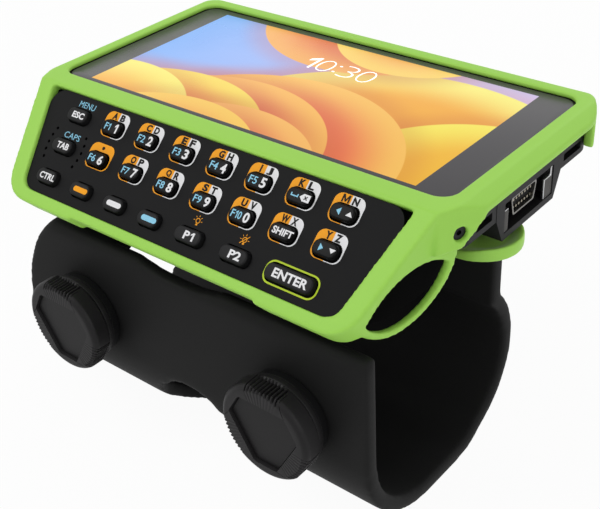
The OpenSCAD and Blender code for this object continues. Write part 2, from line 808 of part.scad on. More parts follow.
module release_lever() {
    z0 = slab_z + lever_gap;
    color(lime) difference() {
        union() {
            translate([0, mid_y, z0]) linear_extrude(lever_t) union() {
                translate([hinge_x, -barrel_w / 2]) square([lever_neck_x - hinge_x + lever_lap, barrel_w]);
                translate([lever_neck_x, -lever_w / 2])
                    square([lever_tip - lever_w / 2 - lever_neck_x, lever_w]);
                translate([lever_tip - lever_w / 2, 0]) circle(d = lever_w);
            }
            translate([hinge_x, 0, hinge_z])
                turned_y(mid_y - barrel_w / 2, mid_y + barrel_w / 2, 2 * barrel_r);
        }
        translate([hinge_x, 0, hinge_z]) turned_y(mid_y - far, mid_y + far, pin_d + 2 * shaft_gap);
    }
}
module lever_pin() {
    reach = barrel_w / 2 + run_gap + cheek_t;
    color(steel) translate([hinge_x, 0, hinge_z]) turned_y(mid_y - reach, mid_y + reach, pin_d);
}
module lever_spring() {
    bow_r = (spring_len * spring_len / 4 + spring_rise * spring_rise) / (2 * spring_rise);
    color(steel) translate([spring_x + spring_len / 2, 0, slab_z + spring_rise - bow_r]) intersection() {
        difference() {
            turned_y(mid_y - spring_w / 2, mid_y + spring_w / 2, 2 * bow_r);
            turned_y(mid_y - spring_w, mid_y + spring_w, 2 * (bow_r - spring_t));
        }
        slab([-far, far], [-far, far], [bow_r - spring_rise, far]);
    }
}

// Cuff: closed band around the arm
module cuff_outline(inset) {
    intersection() {
        union() {
            translate(front_mid) circle(cuff_front_r - inset, $fn = 96);
            translate(rear_mid) circle(cuff_r - inset, $fn = 96);
            polygon(rounded([front_mid, [front_mid.x, inset],
                base_corner + [-inset * tan(base_turn / 2), inset],
                rear_mid + (cuff_r - sink - inset) * rear_normal, rear_mid],
                [0, 0, base_round - inset, 0, 0]));
            polygon(rounded([[-cuff_front + inset, front_mid.y], [neck_rear - inset, front_mid.y],
                [neck_rear - inset, cuff_h - inset], [-cuff_front + inset, cuff_h - inset]],
                [0, 0, each (inset > 0 ? inner_radii : neck_radii)]));
        }
        translate([-far, inset]) square([2 * far, far]);
    }
}
module cuff_ends() {
    along_y(-far, far) union() {
        translate([-cuff_left + corner_r, -past])
            square([cuff_left + cuff_right - corner_r, cuff_h + 2 * past]);
        translate([-cuff_left + corner_r, bulge_z]) circle(corner_r, $fn = 96);
    }
}
module arm_cuff() {
    color(black) difference() {
        intersection() {
            along_x(-cuff_left - past, cuff_right) difference() {
                cuff_outline(0);
                cuff_outline(cuff_wall);
            }
            cuff_ends();
        }
        slab([-roof_window / 2, roof_window / 2], [-cuff_front + cuff_wall, roof_rear],
            [cuff_h - cuff_wall - inner_radii[1], cuff_h + past]);
        slab([roof_right, far], [-cuff_front + cuff_wall, neck_rear - cuff_wall],
            [cuff_h - cuff_wall - inner_radii[1], cuff_h + past]);
        translate([0, 0, cuff_h - dip + dip_r]) turned_y(-far, -cuff_front + cuff_wall + past, 2 * dip_r);
        translate([0, front_mid.x, front_mid.y]) rotate([135, 0, 0])
            translate([0, 0, cuff_front_r / 2]) cylinder(r = notch_r, h = far);
        mount_shanks(mount_screw_d + 2 * shaft_gap, 0);
        for (side = dial_sides)
            at_dial(side) turned_y(-far, -cuff_front + cuff_wall + past, dial_bore_d);
    }
}

// Dials: base through the cuff wall, spool, spindle, knob with three ribbed grips, face cap
module dial_base(side) {
    color(black) at_dial(side) difference() {
        union() {
            turned_y(base_y, wall_y, flange_d);
            turned_y(base_y, wall_y + cuff_wall, dial_bore_d - 2 * shaft_gap);
            turned_y(base_y - ratchet_h, base_y, cup_d - 2 * run_gap);
        }
        turned_y(base_y + dial_floor, far, spool_d + 2 * run_gap);
        turned_y(-far, far, spindle_d + 2 * run_gap);
    }
}
module dial_backplate(side) {
    color(steel) at_dial(side)
        turned_y(wall_y + cuff_wall, wall_y + cuff_wall + backplate_t, backplate_d);
}
module dial_spool(side) {
    color([0.3, 0.3, 0.3]) at_dial(side) difference() {
        turned_y(spool_y0, spool_y1, spool_d);
        turned_y(-far, far, spindle_d + 2 * shaft_gap);
        translate([0, (spool_y0 + spool_y1) / 2, 0]) rotate([90, 0, 0])
            rotate_extrude() translate([spool_d / 2, 0]) circle(groove_r);
    }
}
module dial_spindle(side) {
    color(steel) at_dial(side) union() {
        turned_y(cap_y + cap_t + fit, spool_y1 - run_gap, spindle_d);
        turned_y(cap_y + cap_t + fit, cap_y + cap_t + fit + spindle_head_t, spindle_head_d);
    }
}
module hex_outline(grow) {
    intersection() {
        rotate(-90) circle(2 * (hex_long + grow), $fn = 3);
        rotate(90) circle(2 * (hex_short + grow), $fn = 3);
    }
}
module knob_outline() {
    union() {
        intersection() {
            circle(d = knob_d);
            rotate(-90) circle(2 * grip_flat, $fn = 3);
        }
        for (turn = [0, 120, 240])
            for (i = [0:rib_count - 1])
                rotate(turn) translate([(i - (rib_count - 1) / 2) * rib_pitch, grip_flat]) circle(d = rib_d);
    }
}
module dial_knob(side) {
    color([0.22, 0.21, 0.22]) at_dial(side) difference() {
        along_y(knob_front, knob_back) knob_outline();
        along_y(knob_front - past, cap_y + cap_t) hex_outline(fit);
        turned_y(-far, cap_y + cap_t + 2 * fit + spindle_head_t, spindle_head_d + 2 * run_gap);
        turned_y(-far, far, spindle_d + 2 * shaft_gap);
        turned_y(knob_back - ratchet_h, far, cup_d);
    }
}
module dial_cap(side) {
    color([0.18, 0.18, 0.18]) at_dial(side) along_y(cap_y, cap_y + cap_t) hex_outline(0);
}

arm_cuff();
mount_plate();
mount_screws();
release_lever();
lever_pin();
lever_spring();
mount_shoe();
terminal_housing();
battery_pack();
battery_cover();
main_board();
display_module();
cover_glass();
connector_shell();
connector_insert();
connector_contacts();
connector_brackets();
keypad_housing();
keypad_board();
speaker();
key_mat();
keypad_plate();
rubber_boot();
boot_screws();
for (k = KEYS)
    key_cap(k);
for (side = dial_sides) {
    dial_base(side);
    dial_backplate(side);
    dial_spool(side);
    dial_spindle(side);
    dial_knob(side);
    dial_cap(side);
}
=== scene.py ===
# %% [markdown]
# # An arm-worn data terminal
#
# The object is a rugged hand computer that is worn on the forearm: a landscape display and a sloped
# keypad in a lime rubber boot, on a soft black cuff that two ratchet dials pull tight. Its pieces, joints
# and sizes come from the CAD frame. This lesson dresses that frame: it softens the rubber, models the keys,
# dials and prints, and gives every surface a finish. Everything is in metres, in the frame's own axes.

# %% Load the frame
import json
import math
import bmesh
import bpy
from mathutils import Matrix, Vector


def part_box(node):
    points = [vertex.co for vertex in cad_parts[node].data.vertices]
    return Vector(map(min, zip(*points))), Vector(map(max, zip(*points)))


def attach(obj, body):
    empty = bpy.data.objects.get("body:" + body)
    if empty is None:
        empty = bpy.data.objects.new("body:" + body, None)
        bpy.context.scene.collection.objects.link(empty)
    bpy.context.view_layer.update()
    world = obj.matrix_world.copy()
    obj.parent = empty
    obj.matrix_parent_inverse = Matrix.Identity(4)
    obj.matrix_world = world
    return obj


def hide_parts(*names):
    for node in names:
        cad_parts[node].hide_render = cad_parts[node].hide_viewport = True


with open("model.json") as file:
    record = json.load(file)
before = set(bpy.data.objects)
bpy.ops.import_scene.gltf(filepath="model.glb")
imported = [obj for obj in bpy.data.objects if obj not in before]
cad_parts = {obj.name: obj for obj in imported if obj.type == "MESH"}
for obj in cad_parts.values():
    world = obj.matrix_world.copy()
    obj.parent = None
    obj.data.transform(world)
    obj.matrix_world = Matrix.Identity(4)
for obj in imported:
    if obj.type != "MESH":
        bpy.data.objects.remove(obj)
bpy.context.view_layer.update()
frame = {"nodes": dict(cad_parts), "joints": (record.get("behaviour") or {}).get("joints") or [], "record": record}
MM = 0.001
ROOT = "cuff_and_terminal"

# %% [markdown]
# ## Camera
#
# The photograph was taken from the front right and from above with a long lens. The place, the two angles,
# the small roll and the lens below were solved from the corners of the display glass and of the keypad,
# whose real sizes are known, so the render lies on the photograph.

# %% Camera
CAMERA_AT = Vector((0.17875, -0.19486, 0.21912))
CAMERA_AZIMUTH = math.radians(40.91)
CAMERA_ELEVATION = math.radians(32.97)
CAMERA_ROLL = math.radians(-3.25)
LENS, SENSOR, NEAREST = 65.98, 36, 0.01


def carried(name, data):
    """A new object in the scene that carries a mesh, a curve, a camera or a lamp."""
    made = bpy.data.objects.new(name, data)
    bpy.context.collection.objects.link(made)
    return made


def camera_axes():
    """The camera's right, up and backward directions."""
    flat = math.cos(CAMERA_ELEVATION)
    ahead = Vector((-math.sin(CAMERA_AZIMUTH) * flat, math.cos(CAMERA_AZIMUTH) * flat,
                    -math.sin(CAMERA_ELEVATION)))
    right = Vector((math.cos(CAMERA_AZIMUTH), math.sin(CAMERA_AZIMUTH), 0))
    turn = Matrix.Rotation(-CAMERA_ROLL, 3, ahead)
    right = turn @ right
    return right, right.cross(ahead), -ahead


camera = carried("camera", bpy.data.cameras.new("camera"))
camera.data.lens = LENS
camera.data.sensor_width = SENSOR
camera.data.clip_start = NEAREST
camera.matrix_world = Matrix.Translation(CAMERA_AT) @ Matrix(camera_axes()).transposed().to_4x4()
bpy.context.scene.camera = camera
print("camera at", tuple(CAMERA_AT))

# %% [markdown]
# ## Shader helpers
#
# Materials here are built by code, so a few small helpers keep them readable. They add a node, set or link
# its inputs by name, and look up a socket by its identifier, because a Mix node has several sockets with the
# same name.

# %% Shader helpers


def socket(sockets, key):
    """A socket by identifier, or else by name."""
    return next((s for s in sockets if s.identifier == key), None) or sockets[key]


def feed(tree, node, inputs):
    """Sets a node's inputs by name, or links them where the value is a socket."""
    for name, value in inputs.items():
        target = socket(node.inputs, name)
        if isinstance(value, bpy.types.NodeSocket):
            tree.links.new(value, target)
        else:
            target.default_value = value


def add(tree, kind, inputs=None, **settings):
    """Adds a node, sets its properties, and feeds its inputs."""
    node = tree.nodes.new(kind)
    for name, value in settings.items():
        setattr(node, name, value)
    feed(tree, node, inputs or {})
    return node


def new_material(name):
    """A material with its node tree and its Principled shader."""
    material = bpy.data.materials.new(name)
    material.use_nodes = True
    return material, material.node_tree, material.node_tree.nodes["Principled BSDF"]


def math_node(tree, operation, first, second=0.0, clamp=False):
    inputs = {"Value": first, "Value_001": second}
    return add(tree, "ShaderNodeMath", inputs, operation=operation, use_clamp=clamp).outputs[0]


def mix_color(tree, factor, first, second, blend="MIX"):
    node = add(tree, "ShaderNodeMix", {"Factor_Float": factor, "A_Color": first, "B_Color": second},
               data_type="RGBA", blend_type=blend)
    return socket(node.outputs, "Result_Color")


def spread(tree, value, low, high, to_low=0.0, to_high=1.0):
    """Maps a value smoothly from one range to another."""
    node = add(tree, "ShaderNodeMapRange", {"Value": value, "From Min": low, "From Max": high,
               "To Min": to_low, "To Max": to_high}, interpolation_type="SMOOTHSTEP")
    return node.outputs[0]


def rgba(color):
    return (*color, 1.0)


def srgb(red, green, blue):
    """A colour given as it is seen on a screen, 0 to 255, as the linear values that a shader takes."""
    return tuple(((c / 255 + 0.055) / 1.055) ** 2.4 for c in (red, green, blue))


print("shader helpers ready")

# %% [markdown]
# ## Two shared surface effects
#
# Moulded rubber and plastic are never one flat colour. The mould leaves a fine grain, the gloss varies a
# little with it, and the colour drifts slowly over a hand's breadth. One node group holds that for all the
# materials. A second group paints a highlight on the edges and painted shade into the creases, by curvature.

# %% Shared groups
DRIFT_SCALE, GLOSS_PER_SPECK, GLOSS_PER_SHADE = 38.0, 0.12, 0.25
# RIDGE and CREASE are curvature ranges; the crease colour is painted shade
RIDGE, CREASE, CREASE_SHADE_COLOR = (0.51, 0.6), (0.49, 0.4), (0.01, 0.01, 0.01, 1)


def new_group(name, inputs, outputs):
    group = bpy.data.node_groups.new(name, "ShaderNodeTree")
    for label, kind, value in inputs:
        made = group.interface.new_socket(label, in_out="INPUT", socket_type=kind)
        made.default_value = value
    for label, kind in outputs:
        group.interface.new_socket(label, in_out="OUTPUT", socket_type=kind)
    return group, group.nodes.new("NodeGroupInput"), group.nodes.new("NodeGroupOutput")


def moulded_group():
    group, given, result = new_group(
        "moulded_surface",
        [("Vector", "NodeSocketVector", (0, 0, 0)), ("Color", "NodeSocketColor", (0.5, 0.5, 0.5, 1)),
         ("Variation", "NodeSocketFloat", 0.1), ("Grain", "NodeSocketFloat", 2000.0),
         ("Roughness", "NodeSocketFloat", 0.5)],
        [("Color", "NodeSocketColor"), ("Roughness", "NodeSocketFloat"), ("Height", "NodeSocketFloat")])
    take = given.outputs
    drift = add(group, "ShaderNodeTexNoise", {"Vector": take["Vector"], "Scale": DRIFT_SCALE, "Detail": 3.0})
    fine = add(group, "ShaderNodeTexNoise", {"Vector": take["Vector"], "Scale": take["Grain"], "Detail": 2.0})
    shade = math_node(group, "SUBTRACT", drift.outputs[0], 0.5)
    shade = math_node(group, "MULTIPLY", shade, take["Variation"])
    speck = math_node(group, "SUBTRACT", fine.outputs[0], 0.5)
    shade = math_node(group, "ADD", shade, math_node(group, "MULTIPLY", speck, take["Variation"]))
    bright = math_node(group, "ADD", shade, 1.0)
    scaled = add(group, "ShaderNodeVectorMath", {"Vector": take["Color"], "Scale": bright}, operation="SCALE")
    rough = math_node(group, "MULTIPLY", speck, GLOSS_PER_SPECK)
    rough = math_node(group, "ADD", rough, math_node(group, "MULTIPLY", shade, GLOSS_PER_SHADE))
    rough = math_node(group, "ADD", rough, take["Roughness"], clamp=True)
    feed(group, result, {"Color": scaled.outputs[0], "Roughness": rough, "Height": fine.outputs[0]})
    return group


# Painted light: convex edges are lightened towards a highlight colour, and creases darkened towards a near-black
# shade
def edge_light_and_shade_group():
    group, given, result = new_group(
        "painted_edge_light_and_crease_shade",
        [("Color", "NodeSocketColor", (0.5, 0.5, 0.5, 1)), ("Curvature", "NodeSocketFloat", 0.5),
         ("Edge Highlight", "NodeSocketColor", (1, 1, 1, 1)), ("Amount", "NodeSocketFloat", 0.3)],
        [("Color", "NodeSocketColor")])
    take = given.outputs
    ridge = spread(group, take["Curvature"], *RIDGE)
    crease = spread(group, take["Curvature"], *CREASE)
    lit = mix_color(group, math_node(group, "MULTIPLY", ridge, take["Amount"]), take["Color"], take["Edge Highlight"])
    dark = mix_color(group, math_node(group, "MULTIPLY", crease, take["Amount"]), lit, CREASE_SHADE_COLOR)
    feed(group, result, {"Color": dark})
    return group


MOULDED = moulded_group()
EDGES = edge_light_and_shade_group()
print("groups", MOULDED.name, EDGES.name)

# %% [markdown]
# ## Finishes
#
# Each finish starts from the same recipe: a Principled shader, the moulded-surface group for colour, gloss
# and grain, and a Bump node for the grain's height. The values come from the photograph: lime rubber with a
# soft satin sheen, a matt black cuff, a darker satin keypad panel, glossy black letter keys and grey dials.

# %% Finishes
GRAIN_HEIGHT = 0.2 * MM


def finish(name, color, roughness=0.5, variation=0.12, grain=2600.0, depth=0.02, edge=None, edge_highlight_amount=0.25,
           metallic=0.0, gloss=0.5, glow=0.0):
    material, tree, shader = new_material(name)
    material.diffuse_color = rgba(color)
    place = add(tree, "ShaderNodeTexCoord").outputs["Object"]
    surface = add(tree, "ShaderNodeGroup", {"Vector": place, "Color": rgba(color), "Variation": variation,
                  "Grain": grain, "Roughness": roughness}, node_tree=MOULDED).outputs
    tone = surface["Color"]
    # Painted light: the edge colour paints a highlight on convex edges, and creases are painted darker as shade
    if edge:
        curvature = add(tree, "ShaderNodeNewGeometry").outputs["Pointiness"]
        tone = add(tree, "ShaderNodeGroup", {"Color": tone, "Curvature": curvature, "Edge Highlight": rgba(edge),
                   "Amount": edge_highlight_amount}, node_tree=EDGES).outputs["Color"]
    bump = add(tree, "ShaderNodeBump", {"Height": surface["Height"], "Strength": depth,
               "Distance": GRAIN_HEIGHT}).outputs[0]
    feed(tree, shader, {"Base Color": tone, "Roughness": surface["Roughness"], "Normal": bump,
                        "Metallic": metallic, "Specular IOR Level": gloss})
    if glow:
        feed(tree, shader, {"Emission Color": tone, "Emission Strength": glow})
    return material


# The edge colours given to the lime, cuff, tray and dial finishes are painted highlights on their edges
LIME, LIME_EDGE_HIGHLIGHT = srgb(164, 221, 90), srgb(184, 232, 120)
lime_rubber = finish("lime_rubber", LIME, 0.5, 0.06, 3200, 0.05, LIME_EDGE_HIGHLIGHT, 0.3, gloss=0.25)
lime_plastic = finish("lime_plastic", LIME, 0.45, 0.06, 3200, 0.04, LIME_EDGE_HIGHLIGHT, 0.3, gloss=0.3)
cuff_rubber = finish("cuff_rubber", srgb(25, 25, 25), 0.66, 0.2, 2400, 0.08, srgb(44, 44, 44), gloss=0.12)
tray_plastic = finish("tray_plastic", srgb(20, 19, 21), 0.5, 0.15, 2600, 0.1, srgb(54, 54, 56), gloss=0.15)
panel_plastic = finish("panel_plastic", srgb(11, 11, 12), 0.5, 0.14, 4200, 0.06, gloss=0.09)
letter_key = finish("letter_key", srgb(5, 5, 6), 0.3, 0.15, 3000, 0.02, gloss=0.09)
plain_key = finish("plain_key", srgb(20, 20, 21), 0.45, 0.14, 3600, 0.05, gloss=0.14)
dial_plastic = finish("dial_plastic", srgb(25, 24, 25), 0.5, 0.14, 2600, 0.08, srgb(58, 56, 58), gloss=0.18)
dial_face = finish("dial_face", srgb(20, 19, 20), 0.46, 0.12, 3200, 0.05, gloss=0.14)
# Darker than the dial plastic: partly the black plastic's own colour, partly painted shade, so the dial mounts
# behind the knobs read as shadowed
base_plastic_and_shade = finish("base_plastic_and_shade", srgb(14, 14, 15), 0.6, 0.15, 2600, 0.08, gloss=0.1)
# Painted shade: the keypad housing seen through the boot's side window is made near-black, matt and almost without
# gloss, as dark as a deep shadow
wedge_shade_black = finish("wedge_shade_black", srgb(4, 4, 4), 0.8, 0.15, 2600, 0.05, gloss=0.02)
black_steel = finish("black_steel", srgb(40, 40, 42), 0.36, 0.14, 5200, 0.03, metallic=0.8)
steel = finish("steel", srgb(196, 196, 198), 0.3, 0.12, 5200, 0.03, metallic=1.0)
shell_steel = finish("shell_steel", srgb(132, 130, 127), 0.34, 0.12, 5200, 0.03, metallic=1.0)
# Darker steel for the strips' outer faces: painted shade
strip_shade_steel = finish("strip_shade_steel", srgb(66, 64, 62), 0.42, 0.16, 5200, 0.04, metallic=0.6, gloss=0.2)
dark_steel = finish("dark_steel", srgb(92, 92, 95), 0.34, 0.14, 5200, 0.03, metallic=1.0)
brass = finish("brass", srgb(158, 151, 134), 0.34, 0.12, 5200, 0.02, metallic=1.0)
board_green = finish("board_green", srgb(36, 92, 54), 0.4, 0.2, 1400, 0.05)
cell_wrap = finish("cell_wrap", srgb(58, 60, 68), 0.45, 0.12, 1800, 0.03)
mat_silicone = finish("mat_silicone", srgb(44, 44, 45), 0.66, 0.12, 2600, 0.05)
white_print = finish("white_print", srgb(240, 240, 242), 0.45, 0.04, 3600, 0.02, gloss=0.2)
orange_print = finish("orange_print", srgb(255, 169, 24), 0.45, 0.05, 3600, 0.02, gloss=0.15)
blue_print = finish("blue_print", srgb(146, 212, 240), 0.45, 0.05, 3600, 0.02, gloss=0.2)
yellow_print = finish("yellow_print", srgb(196, 222, 40), 0.45, 0.05, 3600, 0.02, gloss=0.2)
black_print = finish("black_print", srgb(14, 12, 11), 0.45, 0.08, 3600, 0.02, gloss=0.1)
screen_white = finish("screen_white", srgb(255, 255, 255), 0.3, 0.02, 3600, 0.0, glow=0.6)
print("finishes", len(bpy.data.materials))

# %% [markdown]
# ## The lit display
#
# The display shows a picture behind grey-bordered glass. The picture is a plain one of our own: a fan of
# overlapping round petals in yellow, amber and coral on a pale blue and lilac ground. Each petal is a disc
# that fades from a light edge to a deeper middle, and that shades what lies just outside its edge.

# %% Glass finish
GLASS_LOW, GLASS_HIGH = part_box("cover_glass")
LIT_LOW = Vector((-56.5 * MM, GLASS_LOW.y + 2.3 * MM))
LIT_HIGH = Vector((55 * MM, GLASS_LOW.y + 60.2 * MM))
GROUND = (srgb(120, 176, 250), srgb(214, 206, 250))
ASPECT = (LIT_HIGH.x - LIT_LOW.x) / (LIT_HIGH.y - LIT_LOW.y)
SHADE, SHADE_REACH, SHADE_SHARE = srgb(206, 92, 40), 0.16, 0.3
FADE, CRISPNESS = 0.3, 0.003
BORDER, UNLIT, NO_GLOW = rgba(srgb(72, 70, 73)), (0.004, 0.004, 0.004, 1), (0, 0, 0, 1)
SMEAR_SCALE, SMEAR_RANGE, GLASS_ROUGH, LIT_LEVEL, GLASS_GLOSS = 45.0, (0.35, 0.7), (0.2, 0.28), 0.86, 0.3
# Middle and radius, in heights of the picture, colour at the edge, colour towards the middle
PETALS = [
    (1.62, -0.12, 1.06, srgb(255, 244, 120), srgb(250, 176, 34)),
    (2.12, 0.02, 0.64, srgb(255, 238, 84), srgb(250, 190, 36)),
    (0.84, 1.36, 0.66, srgb(250, 178, 84), srgb(236, 112, 60)),
    (1.14, 1.3, 0.48, srgb(255, 214, 96), srgb(244, 142, 52)),
    (1.06, -0.22, 0.8, srgb(255, 196, 84), srgb(242, 116, 64)),
    (0.8, -0.3, 0.72, srgb(255, 190, 84), srgb(228, 88, 66)),
    (0.5, -0.36, 0.7, srgb(255, 226, 84), srgb(246, 150, 48)),
    (0.96, -0.44, 0.62, srgb(255, 190, 92), srgb(232, 98, 70)),
    (0.12, -0.34, 0.62, srgb(255, 242, 112), srgb(250, 178, 44)),
    (0.68, -0.5, 0.62, srgb(255, 206, 84), srgb(240, 122, 62)),
]


def petal_picture(tree, across, up):
    """Colour of the picture; across and up run from 0 to 1 over the lit area."""
    color = mix_color(tree, across, rgba(GROUND[0]), rgba(GROUND[1]))
    wide = math_node(tree, "MULTIPLY", across, ASPECT)
    for middle_x, middle_y, radius, edge, deep in PETALS:
        aside = math_node(tree, "POWER", math_node(tree, "SUBTRACT", wide, middle_x), 2.0)
        above = math_node(tree, "POWER", math_node(tree, "SUBTRACT", up, middle_y), 2.0)
        distance = math_node(tree, "SQRT", math_node(tree, "ADD", aside, above))
        within = math_node(tree, "SUBTRACT", radius, distance)
        shaded = spread(tree, within, -SHADE_REACH, 0.0, 0.0, SHADE_SHARE)
        color = mix_color(tree, shaded, color, rgba(SHADE))
        tone = mix_color(tree, spread(tree, within, 0.0, FADE), rgba(edge), rgba(deep))
        color = mix_color(tree, spread(tree, within, -CRISPNESS, CRISPNESS), color, tone)
    return color


def glass_finish():
    material, tree, shader = new_material("display_glass")
    place = add(tree, "ShaderNodeTexCoord").outputs["Object"]
    spot = add(tree, "ShaderNodeSeparateXYZ", {"Vector": place}).outputs
    across, up = [
        add(tree, "ShaderNodeMapRange", {"Value": spot[axis], "From Min": low, "From Max": high},
            clamp=False).outputs[0] for axis, (low, high) in enumerate(zip(LIT_LOW, LIT_HIGH))]
    inside = 1.0
    for value in (across, up):
        from_middle = math_node(tree, "ABSOLUTE", math_node(tree, "SUBTRACT", value, 0.5))
        inside = math_node(tree, "MULTIPLY", math_node(tree, "LESS_THAN", from_middle, 0.5), inside)
    picture = petal_picture(tree, across, up)
    glow = mix_color(tree, inside, NO_GLOW, picture)
    smear = add(tree, "ShaderNodeTexNoise", {"Vector": place, "Scale": SMEAR_SCALE, "Detail": 4.0}).outputs[0]
    gloss = spread(tree, smear, *SMEAR_RANGE, *GLASS_ROUGH)
    border = mix_color(tree, inside, BORDER, UNLIT)
    feed(tree, shader, {"Emission Color": glow, "Emission Strength": LIT_LEVEL, "Base Color": border,
                        "Roughness": gloss, "Specular IOR Level": GLASS_GLOSS})
    return material


display_glass = glass_finish()
print("picture from", tuple(LIT_LOW), "to", tuple(LIT_HIGH))

# %% [markdown]
# ## Making and placing pieces
#
# Every new piece is a bmesh that becomes one object at the origin, with its place in its mesh, just as a CAD
# node is. It then rides on its body, takes the finish that it is given and may stand for CAD nodes.

# %% Piece helpers
SAME_POINT, SMOOTHING, SOFT_SHARP = 0.002 * MM, 0.5, 60


def applied(carrier):
    """The mesh of an object with its modifiers applied; the object itself is removed."""
    made = bpy.data.meshes.new_from_object(carrier.evaluated_get(bpy.context.evaluated_depsgraph_get()))
    bpy.data.objects.remove(carrier)
    return made


def evened(mesh):
    """A mesh whose large faces are shaded flat, with only its small bevels shaded round."""
    carrier = carried("even_carrier", mesh)
    carrier.modifiers.new("even", "WEIGHTED_NORMAL").keep_sharp = True
    made = applied(carrier)
    bpy.data.meshes.remove(mesh)
    return made


def put(name, mesh, materials, body, nodes=(), sharp=35, even=False):
    """Makes an object of a mesh, ties it to its body and hides the CAD nodes that it stands for."""
    for material in materials:
        mesh.materials.append(material)
    mesh.shade_smooth()
    mesh.set_sharp_from_angle(angle=math.radians(sharp))
    if even:
        mesh = evened(mesh)
    mesh.name = name
    piece = carried(name, mesh)
    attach(piece, body)
    if nodes:
        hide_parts(*nodes)
    return piece


def mesh_of(bm, matrix=None):
    """Ends a bmesh and gives its mesh, moved by a matrix."""
    if matrix is not None:
        bmesh.ops.transform(bm, matrix=matrix, verts=bm.verts)
    bmesh.ops.recalc_face_normals(bm, faces=bm.faces)
    mesh = bpy.data.meshes.new("piece")
    bm.to_mesh(mesh)
    bm.free()
    return mesh


def merged(node):
    """A bmesh of a CAD node with its loose triangles joined."""
    bm = bmesh.new()
    bm.from_mesh(frame["nodes"][node].data)
    bmesh.ops.remove_doubles(bm, verts=bm.verts, dist=SAME_POINT)
    return bm


def softened(node, voxel, rounds, share=1.0):
    """A mesh of a CAD node as one soft skin: remeshed at a voxel size, smoothed, and thinned to a share."""
    bm = merged(node)
    mesh = bpy.data.meshes.new(node + "_soft")
    bm.to_mesh(mesh)
    bm.free()
    carrier = carried(node + "_carrier", mesh)
    remesh = carrier.modifiers.new("skin", "REMESH")
    remesh.mode = "VOXEL"
    remesh.voxel_size = voxel
    smooth = carrier.modifiers.new("soft", "SMOOTH")
    smooth.factor = SMOOTHING
    smooth.iterations = rounds
    if share < 1:
        carrier.modifiers.new("thin", "DECIMATE").ratio = share
    made = applied(carrier)
    bpy.data.meshes.remove(mesh)
    return made


def triangles(mesh):
    return sum(len(p.vertices) - 2 for p in mesh.polygons)


print("piece helpers ready")

# %% [markdown]
# ## Rubber boot
#
# The boot is one moulding of soft rubber with rounded edges everywhere. Bevels on so many meeting curves
# would tear, so a copy of the CAD shape is remeshed into small even cells and smoothed, which rolls every
# edge over by about a millimetre, and then thinned where it is flat.

# %% Boot
BOOT_CELL, BOOT_ROUNDS, BOOT_SHARE = 0.42 * MM, 12, 0.4
boot_mesh = softened("rubber_boot", BOOT_CELL, BOOT_ROUNDS, BOOT_SHARE)
put("boot", boot_mesh, [lime_rubber], ROOT, ["rubber_boot"], sharp=SOFT_SHARP)
print("boot triangles", triangles(boot_mesh))

# %% [markdown]
# ## Arm cuff
#
# The cuff is a thick, soft band with rolled rims. The same way of working suits it, with a larger cell and
# more smoothing, because its rims are rounder than the boot's.

# %% Cuff
CUFF_CELL, CUFF_ROUNDS = 0.9 * MM, 12
cuff_mesh = softened("arm_cuff", CUFF_CELL, CUFF_ROUNDS)
put("cuff", cuff_mesh, [cuff_rubber], ROOT, ["arm_cuff"], sharp=SOFT_SHARP)
print("cuff triangles", triangles(cuff_mesh))

# %% [markdown]
# ## Release lever
#
# The green tongue under the connector is hard plastic with soft edges, so it gets the same treatment with
# much smaller cells. Its round end has a thick raised rim for the thumb, which is lifted from the plain
# shape. It rides on its own body, because it can be pressed down.

# %% Lever
LEVER_CELL, LEVER_ROUNDS = 0.3 * MM, 22
RIM_LIFT, RIM_BASE_LIFT, RIM_STARTS, RIM_AHEAD = 2.2 * MM, 0.5 * MM, 0.55, 0.35
LEVER_LOW, LEVER_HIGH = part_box("release_lever")
TONGUE_HALF = (LEVER_HIGH.y - LEVER_LOW.y) / 2
TONGUE_MID = Vector((LEVER_HIGH.x - TONGUE_HALF, LEVER_HIGH.y - TONGUE_HALF))


def eased(value):
    """A value held between 0 and 1, with a soft start and end."""
    value = min(1.0, max(0.0, value))
    return value * value * (3 - 2 * value)


def raise_rim(mesh):
    """Lifts the edge of the tongue's round end, its upper face more than its lower one."""
    for vert in mesh.vertices:
        aside = Vector((max(0.0, vert.co.x - TONGUE_MID.x), vert.co.y - TONGUE_MID.y)).length / TONGUE_HALF
        along = eased((vert.co.x - TONGUE_MID.x) / TONGUE_HALF + RIM_AHEAD)
        upper = eased((vert.co.z - LEVER_LOW.z) / (LEVER_HIGH.z - LEVER_LOW.z))
        lift = RIM_BASE_LIFT + (RIM_LIFT - RIM_BASE_LIFT) * upper
        vert.co.z += lift * along * eased((aside - RIM_STARTS) / (1 - RIM_STARTS))


lever_mesh = softened("release_lever", LEVER_CELL, LEVER_ROUNDS)
raise_rim(lever_mesh)
put("lever_tongue", lever_mesh, [lime_plastic], "lever", ["release_lever"], sharp=SOFT_SHARP)
print("lever triangles", triangles(lever_mesh))

# %% [markdown]
# ## Crisp mouldings
#
# Hard plastic and metal pieces already have their shape in the CAD. They only lack the small rounded edge
# that catches the light on a real moulding. A merged copy of each one has its flat triangles dissolved into
# whole faces, and its sharp edges bevelled by a fraction of a millimetre.

# %% Crisp mouldings
FLAT_ANGLE, SHARP_ANGLE = math.radians(0.6), math.radians(38)
FINE_EDGE, THIN_EDGE, PLAIN_EDGE, SOFT_EDGE, WIDE_EDGE = 0.1 * MM, 0.12 * MM, 0.2 * MM, 0.3 * MM, 0.4 * MM


def round_edges(bm, edges, radius, segments):
    bmesh.ops.bevel(bm, geom=edges, offset=radius, offset_type="OFFSET", segments=segments, profile=0.5,
                    affect="EDGES", clamp_overlap=True, material=-1)


